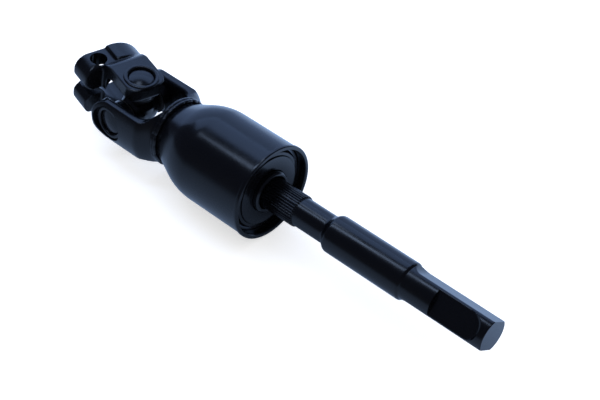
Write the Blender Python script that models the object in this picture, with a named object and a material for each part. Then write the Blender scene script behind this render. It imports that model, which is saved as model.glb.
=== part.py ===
"""Steering column shaft: a universal joint, a housing with a rubber isolator and a splined drive shaft.

The shaft lies along X with the centre of its tip's end face at the origin, and the universal joint at
negative X. Lengths along the shaft are stations, counted from the centre of the joint's cross towards
the tip. One pair of trunnions of the cross lies along Y and the other, when the joint is straight, along Z.
"""
import math

import bmesh
import bpy
from mathutils import Matrix, Vector

MM = 0.001

# Gap between pieces that touch on the real object
CLEARANCE = 0.3 * MM

# Cross and its bearings, with lengths along a trunnion counted from the cross centre
CROSS_SHOULDER = 8.6 * MM
CROSS_ARM_RADIUS = 6.8 * MM
CROSS_HUB_RADIUS = 8.6 * MM
TRUNNION_RADIUS = 4.5 * MM
NEEDLE_RADIUS = 0.95 * MM
NEEDLE_PITCH_RADIUS = TRUNNION_RADIUS + CLEARANCE + NEEDLE_RADIUS
NEEDLE_COUNT = math.ceil(math.pi / math.asin(NEEDLE_RADIUS / NEEDLE_PITCH_RADIUS))
NEEDLE_END_PLAY = 0.3 * MM
CUP_WALL = 1.0 * MM
CUP_BORE_RADIUS = NEEDLE_PITCH_RADIUS + NEEDLE_RADIUS + CLEARANCE
CUP_RADIUS = CUP_BORE_RADIUS + CUP_WALL
CUP_OPEN_END = 10.3 * MM
CUP_FACE = 19.6 * MM
CUP_FLOOR = 1.6 * MM
CUP_DOME = 0.5 * MM
CUP_BEVEL = 1.8 * MM
CUP_FACE_RADIUS = CUP_RADIUS - CUP_BEVEL
CUP_EDGE_DROP = 1.2 * MM
SEAL_THICKNESS = 1.1 * MM

# Staking that holds a cup in a yoke
STAKE_OVERHANG = 1.1 * MM
STAKE_WIDTH = 2.3 * MM
STAKE_HEIGHT = 0.45 * MM
STAKE_INNER_RADIUS = CUP_RADIUS - STAKE_OVERHANG
STAKE_OUTER_RADIUS = STAKE_INNER_RADIUS + STAKE_WIDTH

# Housing yoke: two arms on a round base
YOKE_SEAT = CUP_FACE + 0.4 * MM
YOKE_BOSS_HEIGHT = 3.0 * MM
YOKE_RADIUS = YOKE_SEAT + YOKE_BOSS_HEIGHT
YOKE_SEAT_RADIUS = STAKE_OUTER_RADIUS + 0.5 * MM
YOKE_EYE_WALL = 4.0 * MM
YOKE_ARM_END_RADIUS = CUP_RADIUS + YOKE_EYE_WALL
YOKE_ARM_HALF_WIDTH = YOKE_ARM_END_RADIUS - 0.4 * MM
YOKE_ARM_INNER = 15.0 * MM
YOKE_THROAT = 22.0 * MM
YOKE_THROAT_FILLET = 5.0 * MM
YOKE_INNER_ROUNDING = 2.6 * MM
YOKE_TIP_ROUNDING = 2.6 * MM
YOKE_BASE_START = 20.0 * MM
YOKE_BASE_END = 30.3 * MM

# Housing: a drawn shell with a neck, a cone, a rounded shoulder and a beaded rim
HOUSING_RADIUS = 25.0 * MM
HOUSING_WALL = 1.9 * MM
HOUSING_NECK_RADIUS = 17.0 * MM
HOUSING_NECK_STRAIGHT = 0.35 * MM
HOUSING_NECK_FILLET = 8.0 * MM
HOUSING_CONE_ANGLE = math.radians(24)
HOUSING_SHOULDER_RADIUS = 34.7 * MM
HOUSING_CYLINDER_LENGTH = 37.6 * MM
HOUSING_NECK_START = YOKE_BASE_END + CLEARANCE
HOUSING_BENDS = HOUSING_NECK_FILLET + HOUSING_SHOULDER_RADIUS
HOUSING_CONE_RISE = HOUSING_RADIUS - HOUSING_NECK_RADIUS - HOUSING_BENDS * (1 - math.cos(HOUSING_CONE_ANGLE))
HOUSING_CONE_LENGTH = HOUSING_CONE_RISE / math.tan(HOUSING_CONE_ANGLE)
HOUSING_FILLET_START = HOUSING_NECK_START + HOUSING_NECK_STRAIGHT
HOUSING_SHOULDER_END = (HOUSING_FILLET_START + HOUSING_CONE_LENGTH
                        + HOUSING_BENDS * math.sin(HOUSING_CONE_ANGLE))
RIM_STATION = HOUSING_SHOULDER_END + HOUSING_CYLINDER_LENGTH
RIM_BEAD_HEIGHT = 0.4 * MM
RIM_BEAD_LENGTH = 2.2 * MM
RIM_ROUNDING = 0.7 * MM

# Weld bead between the yoke's base and the housing's neck, and the spigot under the neck
WELD_WIDTH = 3.0 * MM
WELD_STATION = YOKE_BASE_END - WELD_WIDTH / 2
WELD_RADIUS = HOUSING_NECK_RADIUS + 1.3 * MM
YOKE_BASE_TOP_RADIUS = HOUSING_NECK_RADIUS + 0.6 * MM
SPIGOT_RADIUS = HOUSING_NECK_RADIUS - HOUSING_WALL - CLEARANCE
SPIGOT_LENGTH = 5.0 * MM

# Shaft: its radii and the lengths of its stretches
SPLINE_TEETH = 36
SPLINE_RADIUS = 8.22 * MM
SPLINE_DEPTH = 0.72 * MM
SPLINE_ROOT_RADIUS = SPLINE_RADIUS - SPLINE_DEPTH
SPLINE_CHAMFER = 0.8 * MM
NECK_RADIUS = SPLINE_ROOT_RADIUS - 0.07 * MM
THICK_RADIUS = 9.7 * MM
THICK_STEP = 0.75 * MM
THICK_ROUNDING = 1.6 * MM
TIP_RADIUS = THICK_RADIUS - THICK_STEP
TIP_CHAMFER = 0.35 * MM
SPLINE_END = RIM_STATION + 19.4 * MM
SHOULDER_START = SPLINE_END + 17.0 * MM
SHOULDER_END = SHOULDER_START + 5.0 * MM
THICK_END = SHOULDER_END + 43.0 * MM
TIP_STATION = THICK_END + 48.0 * MM

# Rubber isolator in the housing, with its two sleeves and its end disc
ISOLATOR_START = HOUSING_SHOULDER_END + 3.0 * MM
ISOLATOR_END = RIM_STATION - 5.2 * MM
ISOLATOR_OUTER_WALL = 1.5 * MM
RUBBER_HOLLOW = 3.0 * MM
SLEEVE_BORE_RADIUS = SPLINE_RADIUS + CLEARANCE
SLEEVE_WALL = 2.48 * MM
SLEEVE_RADIUS = SLEEVE_BORE_RADIUS + SLEEVE_WALL
SLEEVE_CHAMFER = 0.8 * MM
SLEEVE_START = ISOLATOR_START - 1.0 * MM
SHAFT_INNER_END = SLEEVE_START - 2.0 * MM
DISC_RADIUS = HOUSING_RADIUS - HOUSING_WALL - 2.5 * MM
DISC_STEP_RADIUS = DISC_RADIUS - 2.2 * MM
DISC_STEP = 0.8 * MM
DISC_THICKNESS = 1.8 * MM
DISC_RECESS = 2.8 * MM

# Two flats of the tip, and the notch for the pinch bolt of the mating yoke
FLAT_DISTANCE = TIP_RADIUS - 1.75 * MM
FLAT_ANGLE = math.radians(55.8)
FLAT_START = THICK_END + 6.5 * MM
FLAT_CUTTER_RADIUS = 8.0 * MM
NOTCH_DISTANCE = TIP_RADIUS - 2.75 * MM
NOTCH_ANGLE = FLAT_ANGLE + math.radians(90)
NOTCH_START = THICK_END + 18.6 * MM
NOTCH_END = TIP_STATION - 3.4 * MM
NOTCH_CUTTER_RADIUS = 8.2 * MM
NOTCH_CUTTER_CORNER = 2.2 * MM

# Clamp yoke: its own frame has X towards the tip when the joint is straight
CLAMP_ARM_INNER = 12.5 * MM
CLAMP_ARM_HALF_WIDTH = CUP_RADIUS + 2.7 * MM
CLAMP_ARM_END = CUP_RADIUS + 0.6 * MM
CLAMP_ARM_CORNER = 6.0 * MM
CLAMP_ARM_ROOT = 12.0 * MM
CLAMP_THROAT = 16.5 * MM
CLAMP_THROAT_FILLET = 6.0 * MM
CLAMP_HUB_RADIUS = 17.7 * MM
CLAMP_HUB_START = 19.5 * MM
CLAMP_HUB_END = 32.0 * MM
CLAMP_HUB_CHAMFER = 0.8 * MM
CLAMP_BORE_RADIUS = 10.6 * MM
CLAMP_EAR_REACH = 20.9 * MM
CLAMP_EAR_HEIGHT = 15.7 * MM
CLAMP_EAR_OUTER_CORNER = 7.7 * MM
CLAMP_EAR_INNER_CORNER = 5.0 * MM
CLAMP_EAR_ROUNDING = 4.0 * MM
CLAMP_SEAT_INNER = 2.6 * MM
CLAMP_SLOT = 4.0 * MM
BOLT_HOLE_RADIUS = 4.5 * MM
BOLT_OFFSET = 10.1 * MM

# The pose in which the joint rests
BEND_ABOUT_Y = math.radians(7.6)
BEND_ABOUT_CLAMP = math.radians(-12.0)

# Facets
HOUSING_SEGMENTS = 48
SHAFT_SEGMENTS = 36
SMALL_SEGMENTS = 24

X_AXIS = Vector((1, 0, 0))
Y_AXIS = Vector((0, 1, 0))
Z_AXIS = Vector((0, 0, 1))


def clear_scene():
    for old in list(bpy.data.objects):
        bpy.data.objects.remove(old, do_unlink=True)


def paint(name, color, roughness, metallic):
    """Returns a Principled material."""
    material = bpy.data.materials.new(name)
    material.use_nodes = True
    shader = material.node_tree.nodes["Principled BSDF"]
    shader.inputs["Base Color"].default_value = (*color, 1.0)
    shader.inputs["Roughness"].default_value = roughness
    shader.inputs["Metallic"].default_value = metallic
    return material


def axes(first, second):
    """Returns the turn that lays a drawing's own X and Y along two given directions."""
    third = first.cross(second)
    return Matrix((first, second, third)).transposed().to_4x4()


def arc(centre, radius, start, end, count):
    """Returns points of a circular arc, from one angle in degrees to another."""
    points = []
    for step in range(count + 1):
        angle = math.radians(start + (end - start) * step / count)
        points.append((centre[0] + radius * math.cos(angle), centre[1] + radius * math.sin(angle)))
    return points


def finish_mesh(bm, name, turn):
    """Closes the seams of a mesh, turns its faces outwards and makes it an object."""
    bmesh.ops.remove_doubles(bm, verts=bm.verts, dist=0.001 * MM)
    bmesh.ops.recalc_face_normals(bm, faces=bm.faces)
    bm.transform(turn)
    mesh = bpy.data.meshes.new(name)
    bm.to_mesh(mesh)
    bm.free()
    piece = bpy.data.objects.new(name, mesh)
    bpy.context.collection.objects.link(piece)
    return piece


def turned(name, profile, segments, turn=Matrix.Identity(4)):
    """Spins a profile of (place along the axis, radius) about X, as a lathe would cut it."""
    bm = bmesh.new()
    corners = [bm.verts.new((along, radius, 0)) for along, radius in profile]
    solid = profile[0][1] == 0
    following = corners[1:] if solid else corners[1:] + corners[:1]
    edges = [bm.edges.new(pair) for pair in zip(corners, following)]
    bmesh.ops.spin(bm, geom=edges, cent=(0, 0, 0), axis=(1, 0, 0), angle=2 * math.pi, steps=segments,
                   use_merge=True)
    return finish_mesh(bm, name, turn)


def prism(name, outline, low, high, turn=Matrix.Identity(4)):
    """Extrudes a closed outline from one height to another."""
    bm = bmesh.new()
    face = bm.faces.new([bm.verts.new((u, v, low)) for u, v in outline])
    extruded = bmesh.ops.extrude_face_region(bm, geom=[face])
    moved = [item for item in extruded["geom"] if isinstance(item, bmesh.types.BMVert)]
    bmesh.ops.translate(bm, vec=(0, 0, high - low), verts=moved)
    return finish_mesh(bm, name, turn)


def loft(name, rings, turn=Matrix.Identity(4), closed=False):
    """Skins rings of points that match one to one, and caps the two ends unless the rings close."""
    bm = bmesh.new()
    loops = [[bm.verts.new(point) for point in ring] for ring in rings]
    count = len(rings[0])
    following = loops[1:] + loops[:1] if closed else loops[1:]
    for ring, after in zip(loops, following):
        for index in range(count):
            step = (index + 1) % count
            bm.faces.new((ring[index], ring[step], after[step], after[index]))
    if not closed:
        bm.faces.new(loops[0])
        bm.faces.new(loops[-1])
    return finish_mesh(bm, name, turn)


def combine(target, tool, operation):
    """Joins, cuts or intersects a piece with a tool shape, which is used up."""
    modifier = target.modifiers.new(operation.lower(), "BOOLEAN")
    modifier.operation = operation
    modifier.object = tool
    apply_modifiers(target)
    bpy.data.objects.remove(tool, do_unlink=True)
    return target


def apply_modifiers(piece):
    depsgraph = bpy.context.evaluated_depsgraph_get()
    shaped = bpy.data.meshes.new_from_object(piece.evaluated_get(depsgraph))
    piece.modifiers.clear()
    piece.data = shaped


def join(target, *tools):
    for tool in tools:
        combine(target, tool, "UNION")
    return target


def cut(target, *tools):
    for tool in tools:
        combine(target, tool, "DIFFERENCE")
    return target


def clean_facets(piece):
    """Merges the flat slivers that cuts leave."""
    bm = bmesh.new()
    bm.from_mesh(piece.data)
    bmesh.ops.remove_doubles(bm, verts=bm.verts, dist=0.005 * MM)
    bmesh.ops.dissolve_limit(bm, angle_limit=math.radians(0.5), verts=bm.verts, edges=bm.edges)
    bmesh.ops.dissolve_degenerate(bm, dist=0.005 * MM, edges=bm.edges)
    bm.to_mesh(piece.data)
    bm.free()


def settle(piece, parent, material):
    """Gives a finished piece its parent, its finish and its smooth shading."""
    piece.parent = parent
    piece.data.name = piece.name
    piece.data.materials.clear()
    piece.data.materials.append(material)
    piece.data.shade_smooth()
    piece.data.set_sharp_from_angle(angle=math.radians(32))
    return piece


def add_empty(name, place, parent=None, rotation=(0, 0, 0)):
    empty = bpy.data.objects.new(name, None)
    empty.location = place
    empty.rotation_euler = rotation
    empty.parent = parent
    bpy.context.collection.objects.link(empty)
    return empty


def offset_profile(points, distance):
    """Moves an open profile towards its axis by a wall's thickness, along its own normals."""
    moved = []
    for index, (along, radius) in enumerate(points):
        before = Vector(points[max(index - 1, 0)])
        after = Vector(points[min(index + 1, len(points) - 1)])
        run = (after - before).normalized()
        moved.append((along + run.y * distance, radius - run.x * distance))
    return moved


def spline_section(station, radius_tip, radius_root):
    """Returns the toothed outline of the spline at a station, four corners to a tooth."""
    pitch = 2 * math.pi / SPLINE_TEETH
    shares = ((0.08, radius_root), (0.36, radius_tip), (0.64, radius_tip), (0.92, radius_root))
    outline = []
    for tooth in range(SPLINE_TEETH):
        for share, radius in shares:
            angle = pitch * (tooth + share)
            outline.append((station, radius * math.cos(angle), radius * math.sin(angle)))
    return outline


def spline_teeth():
    """Lofts the splined length, with a chamfer where the teeth end."""
    end_radius = SPLINE_ROOT_RADIUS - SPLINE_CHAMFER / 2
    return loft("spline_teeth", [
        spline_section(SHAFT_INNER_END, end_radius, end_radius),
        spline_section(SHAFT_INNER_END + SPLINE_CHAMFER, SPLINE_RADIUS, SPLINE_ROOT_RADIUS),
        spline_section(SPLINE_END - SPLINE_CHAMFER, SPLINE_RADIUS, SPLINE_ROOT_RADIUS),
        spline_section(SPLINE_END, end_radius, end_radius)])


def height_direction(angle):
    """Returns the direction in which a cutter stands over the shaft, at an angle about X."""
    return Vector((0, math.cos(angle), math.sin(angle)))


def flat_cutter(angle, outline):
    """Stands a cutter's outline of (station, height over the axis) against the shaft at an angle about X."""
    half_width = 2 * THICK_RADIUS
    return prism("cutter", outline, -half_width, half_width, axes(X_AXIS, height_direction(angle)))


def tip_flat_outline():
    """Returns the milled flat's outline, with the cutter's own radius where it runs out."""
    rise = THICK_RADIUS + CLEARANCE - FLAT_DISTANCE
    run = math.acos(1 - rise / FLAT_CUTTER_RADIUS)
    centre = (FLAT_START, FLAT_DISTANCE + FLAT_CUTTER_RADIUS)
    ramp = arc(centre, FLAT_CUTTER_RADIUS, -90 - math.degrees(run), -90, 6)
    beyond = TIP_STATION + TIP_RADIUS
    top = THICK_RADIUS * 2
    return ramp + [(beyond, FLAT_DISTANCE), (beyond, top), (ramp[0][0], top)]


def cut_notch(shaft):
    """Cuts the pinch bolt notch, square at its inner end and left by an end mill near the tip."""
    top = TIP_RADIUS * 2
    mill_station = NOTCH_END - NOTCH_CUTTER_RADIUS
    square = [(NOTCH_START, NOTCH_DISTANCE), (mill_station, NOTCH_DISTANCE), (mill_station, top), (NOTCH_START, top)]
    cut(shaft, flat_cutter(NOTCH_ANGLE, square))
    corner_centre = (NOTCH_DISTANCE + NOTCH_CUTTER_CORNER, NOTCH_CUTTER_RADIUS - NOTCH_CUTTER_CORNER)
    corner = arc(corner_centre, NOTCH_CUTTER_CORNER, 180, 90, 4)
    profile = [(NOTCH_DISTANCE, 0)] + corner + [(top, NOTCH_CUTTER_RADIUS), (top, 0)]
    mill = turned("end_mill", profile, SHAFT_SEGMENTS, axes(height_direction(NOTCH_ANGLE), X_AXIS))
    mill.data.transform(Matrix.Translation((mill_station, 0, 0)))
    cut(shaft, mill)


def shaft_profile():
    """Returns the turned bar's profile, from inside the spline to the tip."""
    shoulder_rise = THICK_RADIUS - NECK_RADIUS
    shoulder_length = SHOULDER_END - SHOULDER_START
    shoulder_radius = (shoulder_length ** 2 / shoulder_rise + shoulder_rise) / 4
    bend = math.degrees(math.asin(shoulder_length / 2 / shoulder_radius))
    foot = arc((SHOULDER_START, NECK_RADIUS + shoulder_radius), shoulder_radius, -90, -90 + bend, 3)
    crown = arc((SHOULDER_END, THICK_RADIUS - shoulder_radius), shoulder_radius, 90 + bend, 90, 3)
    end_radius = (THICK_ROUNDING ** 2 + THICK_STEP ** 2) / (2 * THICK_STEP)
    end_bend = math.degrees(math.asin(THICK_ROUNDING / end_radius))
    end = arc((THICK_END, THICK_RADIUS - end_radius), end_radius, 90, 90 - end_bend, 3)
    core_start = SPLINE_END - 2 * SPLINE_CHAMFER
    profile = [(core_start, 0), (core_start, NECK_RADIUS)] + foot + crown[1:] + end
    profile += [(TIP_STATION - TIP_CHAMFER, TIP_RADIUS), (TIP_STATION, TIP_RADIUS - TIP_CHAMFER)]
    return profile + [(TIP_STATION, 0)]


def make_shaft(parent, finish):
    shaft = turned("splined_shaft", shaft_profile(), SHAFT_SEGMENTS)
    join(shaft, spline_teeth())
    for angle in (FLAT_ANGLE, FLAT_ANGLE + math.pi):
        cut(shaft, flat_cutter(angle, tip_flat_outline()))
    cut_notch(shaft)
    clean_facets(shaft)
    return settle(shaft, parent, finish)


def housing_outline():
    """Returns the housing's outer profile from its neck to the start of its rim's bead."""
    degrees = math.degrees(HOUSING_CONE_ANGLE)
    fillet_centre = (HOUSING_FILLET_START, HOUSING_NECK_RADIUS + HOUSING_NECK_FILLET)
    fillet = arc(fillet_centre, HOUSING_NECK_FILLET, -90, -90 + degrees, 3)
    shoulder_centre = (HOUSING_SHOULDER_END, HOUSING_RADIUS - HOUSING_SHOULDER_RADIUS)
    shoulder = arc(shoulder_centre, HOUSING_SHOULDER_RADIUS, 90 + degrees, 90, 5)
    start = [(HOUSING_NECK_START, HOUSING_NECK_RADIUS)]
    end = [(RIM_STATION - RIM_BEAD_LENGTH, HOUSING_RADIUS)]
    return start + fillet + shoulder + end


def make_housing(parent, finish):
    outer = housing_outline()
    inner = offset_profile(outer, HOUSING_WALL)
    bead_radius = HOUSING_RADIUS + RIM_BEAD_HEIGHT
    bead_start = RIM_STATION - RIM_BEAD_LENGTH + RIM_BEAD_HEIGHT
    nose = arc((RIM_STATION - RIM_ROUNDING, bead_radius - RIM_ROUNDING), RIM_ROUNDING, 90, 0, 3)
    inner_radius = HOUSING_RADIUS - HOUSING_WALL
    lip = [(RIM_STATION, inner_radius + RIM_BEAD_HEIGHT), (RIM_STATION - RIM_BEAD_HEIGHT, inner_radius)]
    profile = outer + [(bead_start, bead_radius)] + nose + lip
    profile += list(reversed(inner[:-1]))
    housing = turned("housing", profile, HOUSING_SEGMENTS)
    return settle(housing, parent, finish)


def make_isolator(shaft_parent, housing_parent, steel, rubber):
    """Makes the bonded bush: outer sleeve, rubber, inner sleeve and the disc over its open end."""
    outer_radius = HOUSING_RADIUS - HOUSING_WALL - CLEARANCE
    rubber_outer = outer_radius - ISOLATOR_OUTER_WALL - CLEARANCE
    rubber_inner = SLEEVE_RADIUS + CLEARANCE
    outer = turned("isolator_outer_sleeve", [
        (ISOLATOR_START, outer_radius), (ISOLATOR_END, outer_radius),
        (ISOLATOR_END, outer_radius - ISOLATOR_OUTER_WALL),
        (ISOLATOR_START, outer_radius - ISOLATOR_OUTER_WALL)], HOUSING_SEGMENTS)
    settle(outer, housing_parent, steel)
    rubber_start = ISOLATOR_START + CLEARANCE
    rubber_end = ISOLATOR_END - CLEARANCE
    hollow_outer = rubber_outer - RUBBER_HOLLOW / 2
    hollow_inner = rubber_inner + RUBBER_HOLLOW / 2
    bush = turned("isolator_rubber", [
        (rubber_start, rubber_outer), (rubber_end, rubber_outer),
        (rubber_end - RUBBER_HOLLOW, hollow_outer), (rubber_end - RUBBER_HOLLOW, hollow_inner),
        (rubber_end, rubber_inner), (rubber_start, rubber_inner),
        (rubber_start + RUBBER_HOLLOW, hollow_inner), (rubber_start + RUBBER_HOLLOW, hollow_outer)],
        HOUSING_SEGMENTS)
    settle(bush, housing_parent, rubber)
    inner = turned("isolator_inner_sleeve", [
        (SLEEVE_START, SLEEVE_RADIUS), (RIM_STATION - SLEEVE_CHAMFER, SLEEVE_RADIUS),
        (RIM_STATION, SLEEVE_RADIUS - SLEEVE_CHAMFER), (RIM_STATION, SLEEVE_BORE_RADIUS + SLEEVE_CHAMFER),
        (RIM_STATION - SLEEVE_CHAMFER, SLEEVE_BORE_RADIUS), (SLEEVE_START, SLEEVE_BORE_RADIUS)], SHAFT_SEGMENTS)
    settle(inner, shaft_parent, steel)
    face = RIM_STATION - DISC_RECESS
    back = face - DISC_THICKNESS
    disc = turned("end_disc", [
        (back, rubber_inner), (face, rubber_inner), (face, DISC_STEP_RADIUS),
        (face - DISC_STEP, DISC_STEP_RADIUS + DISC_STEP / 2), (face - DISC_STEP, DISC_RADIUS - DISC_STEP / 2),
        (face - DISC_STEP * 1.5, DISC_RADIUS), (back, DISC_RADIUS)], HOUSING_SEGMENTS)
    settle(disc, shaft_parent, steel)


def make_cross(parent, finish):
    """Makes the forged spider: two crossed turned arms that swell towards the middle."""
    end = CUP_FACE - CUP_FLOOR - CLEARANCE
    chamfer = TRUNNION_RADIUS / 10
    half = [(end, 0), (end, TRUNNION_RADIUS - chamfer), (end - chamfer, TRUNNION_RADIUS),
            (CROSS_SHOULDER, TRUNNION_RADIUS), (CROSS_SHOULDER, CROSS_ARM_RADIUS - chamfer),
            (CROSS_SHOULDER - chamfer, CROSS_ARM_RADIUS), (CROSS_HUB_RADIUS / 2, CROSS_HUB_RADIUS)]
    profile = half + [(-along, radius) for along, radius in reversed(half)]
    spider = turned("cross_spider", profile, SMALL_SEGMENTS, axes(Y_AXIS, X_AXIS))
    upright = turned("upright_arm", profile, SMALL_SEGMENTS, axes(Z_AXIS, X_AXIS))
    join(spider, upright)
    clean_facets(spider)
    return settle(spider, parent, finish)


def cup_profile():
    floor = CUP_FACE - CUP_FLOOR
    dome = [(CUP_FACE + CUP_DOME, 0), (CUP_FACE + CUP_DOME * 0.75, CUP_FACE_RADIUS / 2)]
    outside = [(CUP_FACE, CUP_FACE_RADIUS), (CUP_FACE - CUP_EDGE_DROP, CUP_RADIUS), (CUP_OPEN_END, CUP_RADIUS)]
    inside = [(CUP_OPEN_END, CUP_BORE_RADIUS), (floor, CUP_BORE_RADIUS), (floor, 0)]
    return dome + outside + inside


def needle_ring(name, turn):
    """Extrudes a full ring of needles that lie side by side, as one corrugated solid."""
    shares = (0.0, 0.3, 0.7)
    outer = []
    inner = []
    for needle in range(NEEDLE_COUNT):
        for share in shares:
            angle = 2 * math.pi * (needle + share) / NEEDLE_COUNT
            off_centre = 2 * math.pi * (share - 0.5) / NEEDLE_COUNT
            across = NEEDLE_PITCH_RADIUS * math.sin(off_centre)
            reach = math.sqrt(NEEDLE_RADIUS ** 2 - across ** 2)
            middle = NEEDLE_PITCH_RADIUS * math.cos(off_centre)
            outer.append((angle, middle + reach))
            inner.append((angle, middle - reach))
    low = CUP_OPEN_END + NEEDLE_END_PLAY
    high = CUP_FACE - CUP_FLOOR - NEEDLE_END_PLAY
    rings = []
    for ring, station in ((outer, low), (outer, high), (inner, high), (inner, low)):
        rings.append([(station, radius * math.cos(angle), radius * math.sin(angle)) for angle, radius in ring])
    return loft(name, rings, turn, closed=True)


def seal_profile():
    inner = TRUNNION_RADIUS + CLEARANCE
    low = CROSS_SHOULDER + CLEARANCE
    high = low + SEAL_THICKNESS
    lip = SEAL_THICKNESS / 2
    return [(low, inner), (low, CROSS_ARM_RADIUS), (high - lip, CUP_RADIUS), (high, CUP_RADIUS), (high, inner)]


def make_bearings(parent, steel, rubber):
    """Makes the cup, needle ring and seal of each of the four trunnions."""
    trunnions = {"near": -Y_AXIS, "far": Y_AXIS, "top": Z_AXIS, "bottom": -Z_AXIS}
    for place, direction in trunnions.items():
        turn = axes(direction, X_AXIS)
        cup = turned("bearing_cup_" + place, cup_profile(), SMALL_SEGMENTS, turn)
        settle(cup, parent, steel)
        settle(needle_ring("needle_rollers_" + place, turn), parent, steel)
        seal = turned("trunnion_seal_" + place, seal_profile(), SMALL_SEGMENTS, turn)
        settle(seal, parent, rubber)


def stake_ring(direction):
    """Returns the swaged ring that overhangs a cup's bevelled edge."""
    slope = CUP_EDGE_DROP / CUP_BEVEL
    lift = 1.3 * CLEARANCE

    def over_edge(radius):
        return CUP_FACE - slope * (radius - CUP_FACE_RADIUS) + lift

    top = YOKE_SEAT + STAKE_HEIGHT
    bore = CUP_RADIUS + CLEARANCE
    crown = (STAKE_INNER_RADIUS + STAKE_OUTER_RADIUS) / 2
    foot = over_edge(bore) - CLEARANCE
    profile = [(over_edge(STAKE_INNER_RADIUS), STAKE_INNER_RADIUS), (top - STAKE_HEIGHT / 2, STAKE_INNER_RADIUS),
               (top, crown), (YOKE_SEAT, STAKE_OUTER_RADIUS), (foot, STAKE_OUTER_RADIUS), (foot, bore),
               (over_edge(bore), bore)]
    return turned("stake", profile, SMALL_SEGMENTS, axes(direction, X_AXIS))


def fork_side_outline():
    """Returns the housing yoke seen along Y: round arm ends, straight edges and a spreading base."""
    half = YOKE_ARM_HALF_WIDTH
    meet = math.degrees(math.asin(half / YOKE_ARM_END_RADIUS))
    end = arc((0, 0), YOKE_ARM_END_RADIUS, 180 - meet, 180 + meet, 14)
    spread = YOKE_BASE_TOP_RADIUS - half
    run = YOKE_BASE_END - YOKE_THROAT
    sweep = []
    for share in (0, 0.25, 0.5, 0.75):
        rise = spread * (1 - math.cos(math.pi * share)) / 2
        sweep.append((YOKE_THROAT + run * share, half + rise))
    beyond = YOKE_BASE_END + SPIGOT_LENGTH
    tall = YOKE_RADIUS * 2
    upper = sweep + [(YOKE_BASE_END, YOKE_BASE_TOP_RADIUS), (YOKE_BASE_END, tall), (beyond, tall)]
    lower = [(station, -height) for station, height in reversed(upper)]
    return end + lower[::-1] + upper[::-1]


def throat_ring(height, spread, start):
    """Returns the throat's outline at a height, pushed outwards by a given spread."""
    inner = YOKE_ARM_INNER + spread
    fillet = YOKE_THROAT_FILLET + spread
    corner = YOKE_ARM_INNER - YOKE_THROAT_FILLET
    centre = YOKE_THROAT - YOKE_THROAT_FILLET
    outline = [(start, -inner)] + arc((centre, -corner), fillet, -90, 0, 5)
    outline += arc((centre, corner), fillet, 0, 90, 5) + [(start, inner)]
    return [(x, y, height) for x, y in outline]


def throat_cutter():
    """Lofts the space between the arms, with its upper and lower edges rounded."""
    rounding = YOKE_INNER_ROUNDING
    rings = []
    for angle in (0, 25, 50, 75):
        turn = math.radians(angle)
        height = YOKE_ARM_HALF_WIDTH - rounding * (1 - math.sin(turn))
        rings.append((height, rounding * (1 - math.cos(turn))))
    last_height, last_spread = rings[-1]
    rings.append((last_height + rounding, last_spread + rounding * math.tan(turn)))
    rings = [(-height, spread) for height, spread in reversed(rings)] + rings
    start = -YOKE_RADIUS * 2
    return loft("throat", [throat_ring(height, spread, start) for height, spread in rings])


def housing_yoke_profile():
    """Returns the profile of the yoke's turned blank: rounded front, flare, weld bead and spigot."""
    spread = YOKE_RADIUS - WELD_RADIUS
    run = WELD_STATION - WELD_WIDTH / 2 - YOKE_BASE_START
    flare = []
    for step in range(6):
        share = step / 5
        radius = YOKE_RADIUS - spread * (1 - math.cos(math.pi * share / 2))
        flare.append((YOKE_BASE_START + run * share, radius))
    bead = arc((WELD_STATION, WELD_RADIUS - WELD_WIDTH / 2), WELD_WIDTH / 2, 120, 20, 4)
    start = -YOKE_ARM_END_RADIUS - CLEARANCE
    spigot_end = YOKE_BASE_END + SPIGOT_LENGTH
    tip_centre = (start + YOKE_TIP_ROUNDING, YOKE_RADIUS - YOKE_TIP_ROUNDING)
    tip = arc(tip_centre, YOKE_TIP_ROUNDING, 180, 90, 4)
    profile = [(start, 0)] + tip + flare + bead
    profile += [(YOKE_BASE_END, HOUSING_NECK_RADIUS), (YOKE_BASE_END, SPIGOT_RADIUS)]
    profile += [(spigot_end - CLEARANCE, SPIGOT_RADIUS), (spigot_end, SPIGOT_RADIUS - CLEARANCE)]
    return profile + [(spigot_end, 0)]


def make_housing_yoke(parent, finish):
    """Turns the yoke's blank, trims it to its side view, then cuts the throat and the cup bores."""
    wide = YOKE_RADIUS * 2
    yoke = turned("housing_yoke", housing_yoke_profile(), HOUSING_SEGMENTS)
    combine(yoke, prism("side_view", fork_side_outline(), -wide, wide, axes(X_AXIS, Z_AXIS)), "INTERSECT")
    cut(yoke, throat_cutter())
    bore = CUP_RADIUS + CLEARANCE
    pocket = [(0, 0), (0, bore), (YOKE_SEAT, bore), (YOKE_SEAT, YOKE_SEAT_RADIUS),
              (wide, YOKE_SEAT_RADIUS), (wide, 0)]
    for direction in (Y_AXIS, -Y_AXIS):
        cut(yoke, turned("cup_bore", pocket, SMALL_SEGMENTS, axes(direction, X_AXIS)))
        join(yoke, stake_ring(direction))
    clean_facets(yoke)
    return settle(yoke, parent, finish)


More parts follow.
